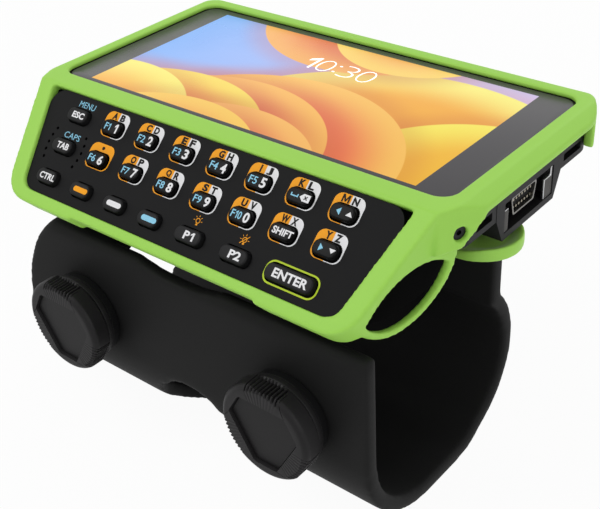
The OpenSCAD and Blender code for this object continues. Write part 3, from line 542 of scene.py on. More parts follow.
def crisp(name, node, material, edge=PLAIN_EDGE, bm=None):
    """Puts a copy of a CAD node, or a finer shape of it, with bevelled edges in its place."""
    bm = bm or merged(node)
    bmesh.ops.dissolve_limit(bm, angle_limit=FLAT_ANGLE, verts=bm.verts, edges=bm.edges)
    sharp = [e for e in bm.edges if e.is_manifold and e.calc_face_angle(0) > SHARP_ANGLE]
    round_edges(bm, sharp, edge, 2)
    return put(name, mesh_of(bm), [material], ROOT, [node], even=True)


crisp("tray_shell", "terminal_housing", tray_plastic)
# The keypad housing takes the near-black finish as painted shade in the side window
crisp("keypad_wedge", "keypad_housing", wedge_shade_black)
crisp("panel", "keypad_plate", panel_plastic, THIN_EDGE)
crisp("rail_plate", "mount_plate", base_plastic_and_shade, WIDE_EDGE)
crisp("shoe", "mount_shoe", base_plastic_and_shade, SOFT_EDGE)
crisp("battery_lid", "battery_cover", base_plastic_and_shade)
crisp("receptacle", "connector_shell", shell_steel, FINE_EDGE)
for side in ("left", "right"):
    # The dial mounts take the darker base plastic, partly as painted shade behind the knobs
    crisp("dial_mount_" + side, "dial_base_" + side, base_plastic_and_shade, WIDE_EDGE)
    crisp("dial_washer_" + side, "dial_backplate_" + side, dark_steel, SOFT_EDGE)

# %% [markdown]
# ## Bracket strips
#
# A strip of sheet steel stands at each end of the connector's mouth and is folded over at its face. Its outer
# face takes a darker steel as painted shade, and all its other faces a bright steel as painted highlight. Each
# strip is drawn from above and raised, and the rear one goes on upwards above its fold. They stand on the CAD
# strips' places.

# %% Bracket strips
STRIP_LOW, STRIP_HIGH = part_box("connector_brackets")
STRIP_T, STRIP_FACE = 0.9 * MM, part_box("terminal_housing")[1].x - 0.2 * MM
FRONT_FOLD, REAR_FOLD = 2.1 * MM, 4.2 * MM
FRONT_H, REAR_FOLD_H, REAR_H = 6.3 * MM, 5.8 * MM, 8.2 * MM
STRIP_EDGE, OUTWARD, SAME_LEVEL = 0.25 * MM, 0.98, 0.01 * MM


def lifted(bm, faces, height):
    """Extrudes faces and moves their new ends upwards; gives all that is new, and its points."""
    grown = bmesh.ops.extrude_face_region(bm, geom=faces)["geom"]
    points = [v for v in grown if isinstance(v, bmesh.types.BMVert)]
    bmesh.ops.translate(bm, vec=(0, 0, height), verts=points)
    return grown, points


def raised(bm, faces, height):
    """Extrudes faces upwards; faces that this leaves inside the piece are deleted."""
    inside = [f for f in faces if all(e.is_manifold for e in f.edges)]
    lifted(bm, faces, height)
    bmesh.ops.delete(bm, geom=[f for f in inside if f.is_valid], context="FACES")


def add_strip(bm, wall, inward, fold, height):
    """Adds a strip along a wall of the mouth, folded over at the face."""
    near, far = wall + inward * STRIP_T, wall + inward * fold
    back, bend, front = STRIP_LOW.x, STRIP_FACE - STRIP_T, STRIP_FACE
    outline = [(back, wall), (bend, wall), (front, wall), (front, near),
               (front, far), (bend, far), (bend, near), (back, near)]
    points = [bm.verts.new((x, y, STRIP_LOW.z)) for x, y in outline]
    parts = [[points[i] for i in corner] for corner in ((0, 1, 6, 7), (1, 2, 3, 6), (6, 3, 4, 5))]
    raised(bm, [bm.faces.new(part) for part in parts], height)


strip_mesh = bmesh.new()
add_strip(strip_mesh, STRIP_LOW.y, 1, FRONT_FOLD, FRONT_H)
add_strip(strip_mesh, STRIP_HIGH.y, -1, REAR_FOLD, REAR_FOLD_H)
strip_mesh.normal_update()
fold_top = STRIP_LOW.z + REAR_FOLD_H
upper = [f for f in strip_mesh.faces if all(abs(v.co.z - fold_top) < SAME_LEVEL for v in f.verts)
         and f.calc_center_median().y > STRIP_HIGH.y - STRIP_T]
raised(strip_mesh, upper, REAR_H - REAR_FOLD_H)
bmesh.ops.recalc_face_normals(strip_mesh, faces=strip_mesh.faces)
print("strip faces", len(strip_mesh.faces), "raised", len(upper),
      "open edges", sum(not e.is_manifold for e in strip_mesh.edges))
strips = crisp("bracket_strips", "connector_brackets", steel, STRIP_EDGE, strip_mesh).data
# Painted light: the outer face takes the darker steel as painted shade, and every other face the bright steel as
# painted highlight
strips.materials.append(strip_shade_steel)
for polygon in strips.polygons:
    polygon.material_index = 1 if polygon.normal.x > OUTWARD else 0

# %% [markdown]
# ## Inner and small pieces
#
# The pieces inside, the screws and the contacts keep their CAD shape and only take a finish, chosen by the
# slot that the record gives them.

# %% Inner and small pieces
FINISH_OF = {
    "steel": steel, "spring_steel": dark_steel, "battery": cell_wrap, "circuit_board": board_green,
    "display": tray_plastic, "connector_plastic": base_plastic_and_shade, "contact_brass": brass, "speaker": dark_steel,
    "silicone": mat_silicone, "spool_plastic": base_plastic_and_shade,
}
BLACKENED = ("boot_screws", "mount_screws")


def dress(node, material):
    slots = frame["nodes"][node].data.materials
    slots.clear()
    slots.append(material)


for part in frame["record"]["subparts"]:
    if part["material_slot"] in FINISH_OF:
        dress(part["node"], FINISH_OF[part["material_slot"]])
for node in BLACKENED:
    dress(node, black_steel)
print("slots with a finish", len(FINISH_OF))

# %% [markdown]
# ## Front glass
#
# The cover glass is a flat plate with rounded corners and a fine polished edge: a cube is scaled to the CAD
# node's box, its four upright edges get the corner radius, and its upper rim a small bevel.

# %% Front glass
GLASS_CORNER, GLASS_RIM, AT_RIM, LEAST_UPRIGHT = 4 * MM, 0.3 * MM, 0.001 * MM, 0.3 * MM


def rim(bm, height):
    """The edges that lie at a height."""
    return [e for e in bm.edges if all(abs(v.co.z - height) < AT_RIM for v in e.verts)]


def uprights(bm):
    """The edges that run up or down."""
    return [e for e in bm.edges if abs(e.verts[0].co.z - e.verts[1].co.z) > LEAST_UPRIGHT]


def block(low, high):
    """A box between two corners."""
    bm = bmesh.new()
    bmesh.ops.create_cube(bm, size=1)
    bmesh.ops.scale(bm, vec=high - low, verts=bm.verts)
    bmesh.ops.translate(bm, vec=(low + high) / 2, verts=bm.verts)
    return bm


bm = block(GLASS_LOW, GLASS_HIGH)
round_edges(bm, uprights(bm), GLASS_CORNER, 10)
round_edges(bm, rim(bm, GLASS_HIGH.z), GLASS_RIM, 3)
put("front_glass", mesh_of(bm), [display_glass], ROOT, ["cover_glass"])
print("glass", tuple(GLASS_HIGH - GLASS_LOW))

# %% [markdown]
# ## The keypad's own frame
#
# The keypad slopes, so its keys and prints are drawn flat, with x across, y up the slope and z out of the
# panel, and one matrix lays them on the panel. The slope comes from the direction in which a key travels, and
# the place from the panel's box.

# %% Keypad frame
PANEL_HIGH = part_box("keypad_plate")[1]
PANEL_T, ABOVE_PANEL, ALL_OF_KEY = 1.6 * MM, 0.2 * MM, -4.8 * MM
press = Vector(next(j for j in frame["joints"] if j["name"] == "key_1_press")["axis"])
SLOPE = math.atan2(press.y, -press.z)
KEYPAD = (Matrix.Translation((0, PANEL_HIGH.y - PANEL_T * math.sin(SLOPE), PANEL_HIGH.z))
          @ Matrix.Rotation(SLOPE, 4, "X"))


def key_box(node, above):
    """Lowest and highest corner, in the keypad's frame, of the part of a node that is above a height."""
    flat = KEYPAD.inverted()
    spots = [flat @ v.co for v in frame["nodes"][node].data.vertices]
    spots = [s for s in spots if s.z > above]
    return Vector(map(min, zip(*spots))), Vector(map(max, zip(*spots)))


def key_face(node):
    """The middle of a key's upper face, in the keypad's frame."""
    low, high = key_box(node, ABOVE_PANEL)
    return Vector(((low.x + high.x) / 2, (low.y + high.y) / 2, high.z))


def panel_spot(node):
    """The place on the panel under the middle of a key."""
    return key_face(node) * Vector((1, 1, 0))


print("keypad slope", math.degrees(SLOPE))

# %% [markdown]
# ## Keys
#
# Each key is a rounded cap on a wider foot that the panel keeps in. The cap tapers a little, its corners are
# round, and its rim is rolled over. The fourteen letter keys are glossy, and the others match the panel.

# %% Keys
LETTER_KEYS = ["key_1", "key_2", "key_3", "key_4", "key_5", "key_backspace", "key_up",
               "key_6", "key_7", "key_8", "key_9", "key_0", "key_shift", "key_down"]
OTHER_KEYS = ["key_orange", "key_white", "key_blue", "key_esc", "key_tab", "key_ctrl",
              "key_p1", "key_p2", "key_enter"]
KEYS = LETTER_KEYS + OTHER_KEYS
CAP_CORNER, CAP_RIM, CAP_LEAN, FOOT_T = 1.7 * MM, 0.45 * MM, 0.25 * MM, 0.6 * MM


def key_mesh(node):
    low, high = key_box(node, ABOVE_PANEL)
    foot_low, foot_high = key_box(node, ALL_OF_KEY)
    cap = block(Vector((low.x, low.y, foot_low.z)), high)
    for vert in cap.verts:
        if vert.co.z > 0:
            vert.co.x += CAP_LEAN if vert.co.x < high.x - CAP_CORNER else -CAP_LEAN
            vert.co.y += CAP_LEAN if vert.co.y < high.y - CAP_CORNER else -CAP_LEAN
    round_edges(cap, uprights(cap), CAP_CORNER, 7)
    round_edges(cap, rim(cap, high.z), CAP_RIM, 4)
    foot = block(foot_low, Vector((foot_high.x, foot_high.y, foot_low.z + FOOT_T)))
    round_edges(foot, uprights(foot), CAP_CORNER, 5)
    foot_mesh = mesh_of(foot)
    cap.from_mesh(foot_mesh)
    bpy.data.meshes.remove(foot_mesh)
    return mesh_of(cap, KEYPAD)


for node in KEYS:
    key_finish = letter_key if node in LETTER_KEYS else plain_key
    put("cap_" + node, key_mesh(node), [key_finish], node + "_button", [node])
print("keys", len(KEYS))

# %% [markdown]
# ## Ink
#
# The legends and coloured fields are printed ink, a few hundredths of a millimetre thick. Words come from
# Blender's own font, are turned into meshes and are scaled to the sizes measured in the photograph. Every
# print of a key is one piece that rides on that key, and all prints of the panel are one piece.

# %% Ink
INK = 0.03 * MM
WIDE_SHARE, TALL_SHARE, LETTER_GAP = {"1": 0.62, ":": 0.2}, {":": 0.62}, 0.2
INKS = [white_print, orange_print, blue_print, yellow_print, black_print]
WHITE, ORANGE, BLUE, YELLOW, BLACK = range(5)
FONT_STEPS, FONT_SAME_POINT = 4, 0.0001
# Shares of a 1's width or height: its stem, what boldness adds, and its flag's top, foot and root
ONE_STEM, ONE_BOLDER, FLAG_TOP, FLAG_FOOT, FLAG_ROOT = 0.36, 4, 0.24, 0.42, 0.22


def inked(bm):
    """Gives flat faces the thickness of ink."""
    lifted(bm, bm.faces[:], INK)
    return mesh_of(bm)


def word(text, wide, tall, bold=0.0):
    """A word as ink, centred on the origin, of a width and a height."""
    curve = bpy.data.curves.new("word", "FONT")
    curve.body = text
    curve.offset = bold
    curve.resolution_u = FONT_STEPS
    flat = applied(carried("word", curve))
    bpy.data.curves.remove(curve)
    bm = bmesh.new()
    bm.from_mesh(flat)
    bpy.data.meshes.remove(flat)
    bmesh.ops.remove_doubles(bm, verts=bm.verts, dist=FONT_SAME_POINT)
    low = Vector(map(min, zip(*(v.co for v in bm.verts))))
    high = Vector(map(max, zip(*(v.co for v in bm.verts))))
    bmesh.ops.translate(bm, vec=-(low + high) / 2, verts=bm.verts)
    bmesh.ops.scale(bm, vec=(wide / (high.x - low.x), tall / (high.y - low.y), 1), verts=bm.verts)
    return inked(bm)


def lettered(text, wide, tall, bold=0.0):
    """A word as ink; the font's plain stroke for 1 is replaced by a 1 with a flag."""
    if "1" not in text:
        return word(text, wide, tall, bold)
    shares = [WIDE_SHARE.get(sign, 1.0) for sign in text]
    pitch = wide / (sum(shares) + LETTER_GAP * (len(text) - 1))
    whole, start = bmesh.new(), -wide / 2
    for sign, share in zip(text, shares):
        span = pitch * share
        high = tall * TALL_SHARE.get(sign, 1.0)
        glyph = flagged_one(span, high, bold) if sign == "1" else word(sign, span, high, bold)
        glyph.transform(Matrix.Translation((start + span / 2, 0, 0)))
        whole.from_mesh(glyph)
        bpy.data.meshes.remove(glyph)
        start += span + pitch * LETTER_GAP
    return mesh_of(whole)


def flagged_one(wide, tall, bold):
    """A 1 with a flag, as ink."""
    right, top = wide / 2, tall / 2
    left = right - wide * (ONE_STEM + ONE_BOLDER * bold)
    bm = bmesh.new()
    corners = [(left, -top), (right, -top), (right, top), (left, top), (-right, top - FLAG_TOP * tall),
               (-right, top - FLAG_FOOT * tall), (left, top - FLAG_ROOT * tall)]
    bm.faces.new([bm.verts.new((x, y, 0)) for x, y in corners])
    return inked(bm)


def rounded_face(bm, wide, tall, radius, lift=0.0):
    """Adds a rounded rectangle, lifted along y, and gives its face."""
    corners = bmesh.ops.create_grid(bm, x_segments=1, y_segments=1, size=0.5)["verts"]
    bmesh.ops.scale(bm, vec=(wide, tall, 1), verts=corners)
    bmesh.ops.translate(bm, vec=(0, lift, 0), verts=corners)
    made = bmesh.ops.bevel(bm, geom=corners, offset=radius, offset_type="OFFSET", segments=6, profile=0.5,
                           affect="VERTICES", clamp_overlap=True, material=-1)
    return max(made["verts"][0].link_faces, key=lambda face: face.calc_area())


def patch(wide, tall, radius):
    """A rounded rectangle of ink."""
    bm = bmesh.new()
    rounded_face(bm, wide, tall, radius)
    return inked(bm)


def ring(outer, inner):
    """A flat ring between two rounded rectangles, each given as width, height, radius and lift."""
    bm = bmesh.new()
    faces = [rounded_face(bm, *outer), rounded_face(bm, *inner)]
    edges = [e for face in faces for e in face.edges]
    bmesh.ops.delete(bm, geom=faces, context="FACES_ONLY")
    bmesh.ops.bridge_loops(bm, edges=edges)
    return bm


def icon(corners):
    """A flat sign from its corners, in millimetres."""
    bm = bmesh.new()
    bm.faces.new([bm.verts.new((x * MM, y * MM, 0)) for x, y in corners])
    return inked(bm)


def printed(name, marks, body, matrix=KEYPAD):
    """Joins marks, each a mesh, its place and its ink, into one piece; a mesh with its own inks has None."""
    whole = bmesh.new()
    for mesh, place, ink in marks:
        if ink is not None:
            mesh.polygons.foreach_set("material_index", [ink] * len(mesh.polygons))
        mesh.transform(Matrix.Translation(place))
        whole.from_mesh(mesh)
        bpy.data.meshes.remove(mesh)
    return put(name, mesh_of(whole, matrix), INKS, body)


print("ink thickness", INK)

# %% [markdown]
# ## Legends on the keys
#
# A letter key carries a small blue sign on the left and a large white one on the right, apart from the shift
# key, which has a word. Words and digits are given as width and height in millimetres.

# %% Key legends
ARROW = [(-0.95, -0.55), (0.95, -0.55), (0, 0.6)]
SPACE = [(-1.1, 0.4), (-1.1, -0.4), (1.1, -0.4), (1.1, 0.4), (0.8, 0.4), (0.8, -0.1), (-0.8, -0.1),
         (-0.8, 0.4)]
ERASE = [(-1.6, 0), (-0.6, -0.95), (1.4, -0.95), (1.4, 0.95), (-0.6, 0.95)]
FUNCTION_SIZE, DIGIT_SIZE = (2.5 * MM, 1.95 * MM), (1.75 * MM, 2.65 * MM)
FUNCTION_WIDE, ONE_NARROWER = {"F1": 2.0 * MM, "F10": 3.2 * MM}, 0.62
WORDS = {"key_shift": ("SHIFT", 6.1, 1.8), "key_esc": ("ESC", 4.5, 1.85), "key_tab": ("TAB", 4.6, 1.85),
         "key_ctrl": ("CTRL", 5.9, 1.85), "key_p1": ("P1", 3.3, 2.2), "key_p2": ("P2", 3.7, 2.2),
         "key_enter": ("ENTER", 10.3, 2.3)}
BARS = {"key_orange": ORANGE, "key_white": WHITE, "key_blue": BLUE}
BAR_SIZE = (5.2 * MM, 1.45 * MM, 0.7 * MM)
LEFT_SIGN, RIGHT_SIGN = Vector((-0.95 * MM, 0, 0)), Vector((2.2 * MM, 0, 0))
MIDDLE = Vector((0.65 * MM, 0, 0))
WORD_BOLD, FUNCTION_BOLD, DIGIT_BOLD = 0.032, 0.01, 0.03
CROSS_STROKE, CROSS_SHIFT = (1.25 * MM, 0.26 * MM, 0.05 * MM), Vector((0.2 * MM, 0, INK))


def arrow(turn):
    """A triangle that points up, turned a number of quarter turns to the left."""
    mesh = icon(ARROW)
    mesh.transform(Matrix.Rotation(turn * math.pi / 2, 4, "Z"))
    return mesh


def cross(place):
    """Two crossed black strokes on a white sign."""
    marks = []
    for turn in (1, -1):
        stroke = patch(*CROSS_STROKE)
        stroke.transform(Matrix.Rotation(turn * math.pi / 4, 4, "Z"))
        marks.append((stroke, place + CROSS_SHIFT, BLACK))
    return marks


def key_signs(node):
    """The signs of a key: mesh, shift from the middle of its face, and ink."""
    if node in WORDS:
        text, wide, tall = WORDS[node]
        return [(lettered(text, wide * MM, tall * MM, WORD_BOLD), MIDDLE, WHITE)]
    if node in BARS:
        return [(patch(*BAR_SIZE), MIDDLE, BARS[node])]
    if node == "key_backspace":
        return [(icon(SPACE), LEFT_SIGN, BLUE), (icon(ERASE), RIGHT_SIGN, WHITE)] + cross(RIGHT_SIGN)
    if node == "key_up":
        return [(arrow(1), LEFT_SIGN, BLUE), (arrow(0), RIGHT_SIGN, WHITE)]
    if node == "key_down":
        return [(arrow(3), LEFT_SIGN, BLUE), (arrow(2), RIGHT_SIGN, WHITE)]
    digit = node[-1]
    name = "F" + (digit if digit != "0" else "10")
    name_wide, digit_wide = FUNCTION_WIDE.get(name, FUNCTION_SIZE[0]), DIGIT_SIZE[0]
    if digit == "1":
        digit_wide *= ONE_NARROWER
    return [(lettered(name, name_wide, FUNCTION_SIZE[1], FUNCTION_BOLD), LEFT_SIGN, BLUE),
            (lettered(digit, digit_wide, DIGIT_SIZE[1], DIGIT_BOLD), RIGHT_SIGN, WHITE)]


for node in KEYS:
    face = key_face(node)
    marks = [(mesh, face + shift, ink) for mesh, shift, ink in key_signs(node)]
    printed("legend_" + node, marks, node + "_button")
print("legends", len(KEYS))

# %% [markdown]
# ## Prints on the panel
#
# Around each letter key lies a coloured field: a band above the cap with two black letters, orange on the
# left and white on the right, that narrows to a fine line round the cap. A ring between two rounded
# rectangles gives the field, and one cut down its middle parts the two inks.

# %% Panel fields
FIELD_W, FIELD_UP, FIELD_DOWN, FIELD_CORNER = 8.75 * MM, 4.75 * MM, 2.62 * MM, 2.1 * MM
FIELD_SPLIT = 0.15 * MM
FIELD_LETTERS = ["AB", "CD", "EF", "GH", "IJ", "KL", "MN", "", "OP", "QR", "ST", "UV", "WX", "YZ"]
LETTER_SIZE, LETTER_WIDE = (1.75 * MM, 1.98 * MM), {"I": 0.28, "M": 1.25, "W": 1.3}
LETTER_AT, LETTER_BOLD = [-1.35 * MM, 1.5 * MM], 0.05
BOLD_M = [(0, 0), (0.2, 0), (0.2, 0.62), (0.42, 0.12), (0.58, 0.12), (0.8, 0.62), (0.8, 0), (1, 0), (1, 1),
          (0.76, 1), (0.5, 0.42), (0.24, 1), (0, 1)]
OPENING_GAP, BAND_FOOT, DOT = 0.28 * MM, 2.3 * MM, (1 * MM, 1 * MM, 0.49 * MM)


def opening(node):
    """Width, height and corner radius of the panel's opening for a key."""
    low, high = key_box(node, ABOVE_PANEL)
    size = high - low
    return size.x + 2 * OPENING_GAP, size.y + 2 * OPENING_GAP, CAP_CORNER + OPENING_GAP


def field(node, split):
    """The coloured field round a letter key, orange left of the split and white right of it."""
    outer = (FIELD_W, FIELD_UP + FIELD_DOWN, FIELD_CORNER, (FIELD_UP - FIELD_DOWN) / 2)
    bm = ring(outer, opening(node))
    everything = bm.verts[:] + bm.edges[:] + bm.faces[:]
    bmesh.ops.bisect_plane(bm, geom=everything, plane_co=(split, 0, 0), plane_no=(1, 0, 0))
    for face in bm.faces:
        face.material_index = ORANGE if face.calc_center_median().x < split else WHITE
    return inked(bm)


def bold_m(wide):
    """A heavy M, which the font's own outline can't give."""
    return icon([((x - 0.5) * wide / MM, (y - 0.5) * LETTER_SIZE[1] / MM) for x, y in BOLD_M])


panel_marks = []
for node, letters in zip(LETTER_KEYS, FIELD_LETTERS):
    middle = panel_spot(node)
    band = middle + Vector((0, (FIELD_UP + BAND_FOOT) / 2, INK))
    panel_marks.append((field(node, FIELD_SPLIT if letters else FIELD_W), middle, None))
    for letter, across in zip(letters, LETTER_AT):
        wide = LETTER_SIZE[0] * LETTER_WIDE.get(letter, 1)
        sign = bold_m(wide) if letter == "M" else word(letter, wide, LETTER_SIZE[1], LETTER_BOLD)
        panel_marks.append((sign, band + Vector((across, 0, 0)), BLACK))
    if not letters:
        panel_marks.append((patch(*DOT), band, BLACK))
print("field marks", len(panel_marks))

# %% [markdown]
# The rest of the panel's prints are two blue words above the left keys, a yellow line round the enter key,
# and two small lamp signs.

# %% Panel words and signs
WORD_SHIFT, WORD_SIZE = Vector((0.75 * MM, 3.55 * MM, 0)), (6.2 * MM, 1.75 * MM)
ENTER_LINE = 0.45 * MM
BULB_AT = [(Vector((6.8 * MM, -20.2 * MM, 0)), False), (Vector((22.3 * MM, -20.2 * MM, 0)), True)]
BULB_R, HOLE_R, ROUND = 0.72 * MM, 0.52 * MM, 0.98
BULB_SOCKET, SOCKET_DROP = (0.6 * MM, 0.45 * MM, 0.1 * MM), 0.3 * MM
RAY, RAY_OUT, RAY_COUNT = (0.45 * MM, 0.16 * MM, 0.05 * MM), 0.5 * MM, 5
SLASH = (3.2 * MM, 0.2 * MM, 0.05 * MM)


def bulb_marks(place, slashed):
    """A lamp sign: a round bulb, its socket, five rays and, where it is off, a slash."""
    outer, inner = [(2 * r, 2 * r, ROUND * r) for r in (BULB_R, HOLE_R)]
    marks = [(inked(ring(outer, inner)), place, ORANGE)]
    marks.append((patch(*BULB_SOCKET), place - Vector((0, BULB_R + SOCKET_DROP, 0)), ORANGE))
    for step in range(RAY_COUNT):
        ray = patch(*RAY)
        out = Matrix.Translation((BULB_R + RAY_OUT, 0, 0))
        ray.transform(Matrix.Rotation(step * math.pi / 4, 4, "Z") @ out)
        marks.append((ray, place, ORANGE))
    if slashed:
        slash = patch(*SLASH)
        slash.transform(Matrix.Rotation(math.pi / 4, 4, "Z"))
        marks.append((slash, place, ORANGE))
    return marks


for node, text in (("key_esc", "MENU"), ("key_tab", "CAPS")):
    place = panel_spot(node) + WORD_SHIFT
    panel_marks.append((word(text, *WORD_SIZE), place, BLUE))
inner = opening("key_enter")
outer = (inner[0] + 2 * ENTER_LINE, inner[1] + 2 * ENTER_LINE, inner[2] + ENTER_LINE)
panel_marks.append((inked(ring(outer, inner)), panel_spot("key_enter"), YELLOW))
for place, slashed in BULB_AT:
    panel_marks += bulb_marks(place, slashed)
print("panel marks", len(panel_marks))
printed("panel_prints", panel_marks, ROOT)

# %% [markdown]
# ## Clock on the display
#
# The display shows the time in large thin digits. They lie on the glass as light, so they take the glowing
# finish.

# %% Clock
CLOCK_SIZE, CLOCK_BOLD = (23.4 * MM, 7.5 * MM), -0.03
CLOCK_AT = Vector((0.2 * MM, GLASS_LOW.y + 45.3 * MM, GLASS_HIGH.z))
clock = lettered("10:30", *CLOCK_SIZE, CLOCK_BOLD)
clock.transform(Matrix.Translation(CLOCK_AT))
put("clock_digits", clock, [screen_white], ROOT)
print("clock at", tuple(CLOCK_AT))

# %% [markdown]
# ## Ratchet dials
#
# A dial's knob is a short turned body with a round front edge, a groove and a plain collar. Three ribbed
# grips break its round edge. The turned body comes from a spin, and the ribs are pressed into it by moving
# its points along their normals, which lets them run over the round edge.

# %% Dial shapes
KNOB_LOW, KNOB_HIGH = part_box("dial_knob_right")
CAP_LOW, CAP_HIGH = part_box("dial_cap_right")
KNOB_R = (KNOB_HIGH.x - KNOB_LOW.x) / 2 + 0.4 * MM
KNOB_T = KNOB_HIGH.y - KNOB_LOW.y
FACE_DEPTH, CAP_T = CAP_LOW.y - KNOB_LOW.y, CAP_HIGH.y - CAP_LOW.y
GRIP_DEPTH, EDGE_R = 5.5 * MM, 1.7 * MM
CUP_R, CUP_DEPTH, POCKET_R, POCKET_FLOOR, BORE_R = 10.3 * MM, 3 * MM, 4.3 * MM, 4.2 * MM, 2.05 * MM
COLLAR_R, NECK_R = KNOB_R - 1 * MM, KNOB_R - 1.8 * MM
GRIPS = [math.radians(a) for a in (90, 210, 330)]
GRIP_FLAT, RIB_REACH = KNOB_R - 0.75 * MM, 1 * MM
RIB_PITCH, RIB_COUNT, RIB_DEEP = 1.12 * MM, 9, 0.75 * MM
LONG_SIDE, SHORT_SIDE = 8.3 * MM, 10.4 * MM
SPLIT_DEEP, SPLIT_WIDE = 0.35 * MM, 0.16 * MM
FACE_GAP, FACE_CORNER, FACE_RIM, RECESS_SLANT = 0.06 * MM, 0.8 * MM, 0.15 * MM, 1.02
KNOB_STEPS, GROOVE_W, GROOVE_SLANT = 480, 0.6 * MM, 0.1 * MM
LIP_R, COLLAR_EDGE_R, ON_HOOP = 0.4 * MM, 0.3 * MM, 0.005 * MM
RIB_NARROWS, SPLIT_BESIDE, PAST_FRONT = 1.6, 0.6, 0.01 * MM


def turned_body(profile, steps):
    """Spins a closed profile of radius and height round z."""
    bm = bmesh.new()
    points = [bm.verts.new((r, 0, z)) for r, z in profile]
    edges = [bm.edges.new(pair) for pair in zip(points, points[1:] + points[:1])]
    bmesh.ops.spin(bm, geom=points + edges, cent=(0, 0, 0), axis=(0, 0, 1), angle=2 * math.pi, steps=steps,
                   use_merge=True)
    bmesh.ops.remove_doubles(bm, verts=bm.verts, dist=0.001 * MM)
    bmesh.ops.recalc_face_normals(bm, faces=bm.faces)
    return bm


def hoop(bm, radius, height):
    """The edges of a circle of a turned body."""
    return [e for e in bm.edges if all(abs(v.co.z - height) < ON_HOOP
                                       and abs(v.co.xy.length - radius) < ON_HOOP for v in e.verts)]


def press_ribs(bm):
    """Flattens the three grips of a turned body and presses ribs into them."""
    bm.normal_update()
    moves = []
    for vert in bm.verts:
        radius = vert.co.xy.length
        if radius < GRIP_FLAT - RIB_REACH or vert.co.z < KNOB_T - GRIP_DEPTH:
            continue
        angle = math.atan2(vert.co.y, vert.co.x)
        off = min(((angle - grip + math.pi) % (2 * math.pi) - math.pi for grip in GRIPS), key=abs)
        along = radius * math.sin(off)
        inward = max(0.0, radius * math.cos(off) - GRIP_FLAT) if abs(off) < math.pi / 4 else 0.0
        ribs = abs(along) < RIB_PITCH * RIB_COUNT / 2
        wave = 0.5 - 0.5 * math.cos(2 * math.pi * along / RIB_PITCH)
        groove = RIB_DEEP * wave ** RIB_NARROWS if ribs else 0.0
        edge_share = min(1.0, 2 * (radius - GRIP_FLAT + RIB_REACH) / RIB_REACH)
        flat = Vector((vert.co.x, vert.co.y, 0)).normalized() * inward
        moves.append((vert, -flat - vert.normal * groove * edge_share))
    for vert, move in moves:
        vert.co += move


print("knob radius", KNOB_R, "thickness", KNOB_T)

# %% [markdown]
# A three-sided recess in the knob's front holds a flat face cap, and fine split lines run from its corners to
# the grips. Both are cut into the turned body with booleans. The knob and its cap then stand on the place of
# each dial's spindle.

# %% Dial pieces


def three_sided(bm, grow):
    """A face with three long and three short sides, grown outwards."""
    long_side, short_side = LONG_SIDE + grow, SHORT_SIDE + grow
    half = (short_side - long_side / 2) / math.cos(math.pi / 6)
    corners = []
    for grip in GRIPS:
        for across in (half, -half):
            spot = Vector((across, long_side, 0))
            corners.append(bm.verts.new(Matrix.Rotation(grip - math.pi / 2, 3, "Z") @ spot))
    return bm.faces.new(corners)


def raise_face(bm, face, height, grow=1.0):
    """Extrudes a face upwards and scales its new end; a face that this leaves inside is deleted."""
    grown, points = lifted(bm, [face], height)
    if len(face.edges[0].link_faces) > 2:
        bmesh.ops.delete(bm, geom=[face], context="FACES_ONLY")
    bmesh.ops.scale(bm, vec=(grow, grow, 1), verts=points)
    return next(f for f in grown if isinstance(f, bmesh.types.BMFace))


def recess_cutter():
    """The space of the face cap and the slanted recess above it."""
    bm = bmesh.new()
    end = raise_face(bm, three_sided(bm, FACE_GAP), CAP_T)
    raise_face(bm, end, FACE_DEPTH + PAST_FRONT, RECESS_SLANT)
    round_edges(bm, uprights(bm), FACE_CORNER, 3)
    return mesh_of(bm, Matrix.Translation((0, 0, KNOB_T - FACE_DEPTH - CAP_T)))


def split_cutter():
    """A thin blade from a corner of the recess to one end of each grip, and down beside its ribs."""
    corner = Vector(((SHORT_SIDE - LONG_SIDE / 2) / math.cos(math.pi / 6), LONG_SIDE, KNOB_T))
    way = Vector((RIB_PITCH * (RIB_COUNT + SPLIT_BESIDE) / 2, GRIP_FLAT, KNOB_T)) - corner
    lay = Matrix.Translation(corner) @ Matrix.Rotation(math.atan2(way.y, way.x), 4, "Z")
    front, rim_start, end = -SPLIT_DEEP, way.length - EDGE_R / 2, way.length + EDGE_R
    blade = [(0, front), (rim_start, front), (rim_start, EDGE_R - GRIP_DEPTH), (end, EDGE_R - GRIP_DEPTH),
             (end, EDGE_R), (0, EDGE_R)]
    whole = bmesh.new()
    for grip in GRIPS:
        bm = bmesh.new()
        raise_face(bm, bm.faces.new([bm.verts.new((along, up, 0)) for along, up in blade]), SPLIT_WIDE)
        turn = Matrix.Rotation(grip - math.pi / 2, 4, "Z")
        mesh = mesh_of(bm, turn @ lay @ Matrix.Rotation(math.pi / 2, 4, "X"))
        whole.from_mesh(mesh)
        bpy.data.meshes.remove(mesh)
    return mesh_of(whole)


def cut(mesh, cutter):
    """A mesh with another one taken out of it."""
    body, tool = carried("cut_body", mesh), carried("cut_tool", cutter)
    boolean = body.modifiers.new("cut", "BOOLEAN")
    boolean.operation = "DIFFERENCE"
    boolean.solver = "EXACT"
    boolean.object = tool
    made = applied(body)
    bpy.data.objects.remove(tool)
    bpy.data.meshes.remove(mesh)
    bpy.data.meshes.remove(cutter)
    return made


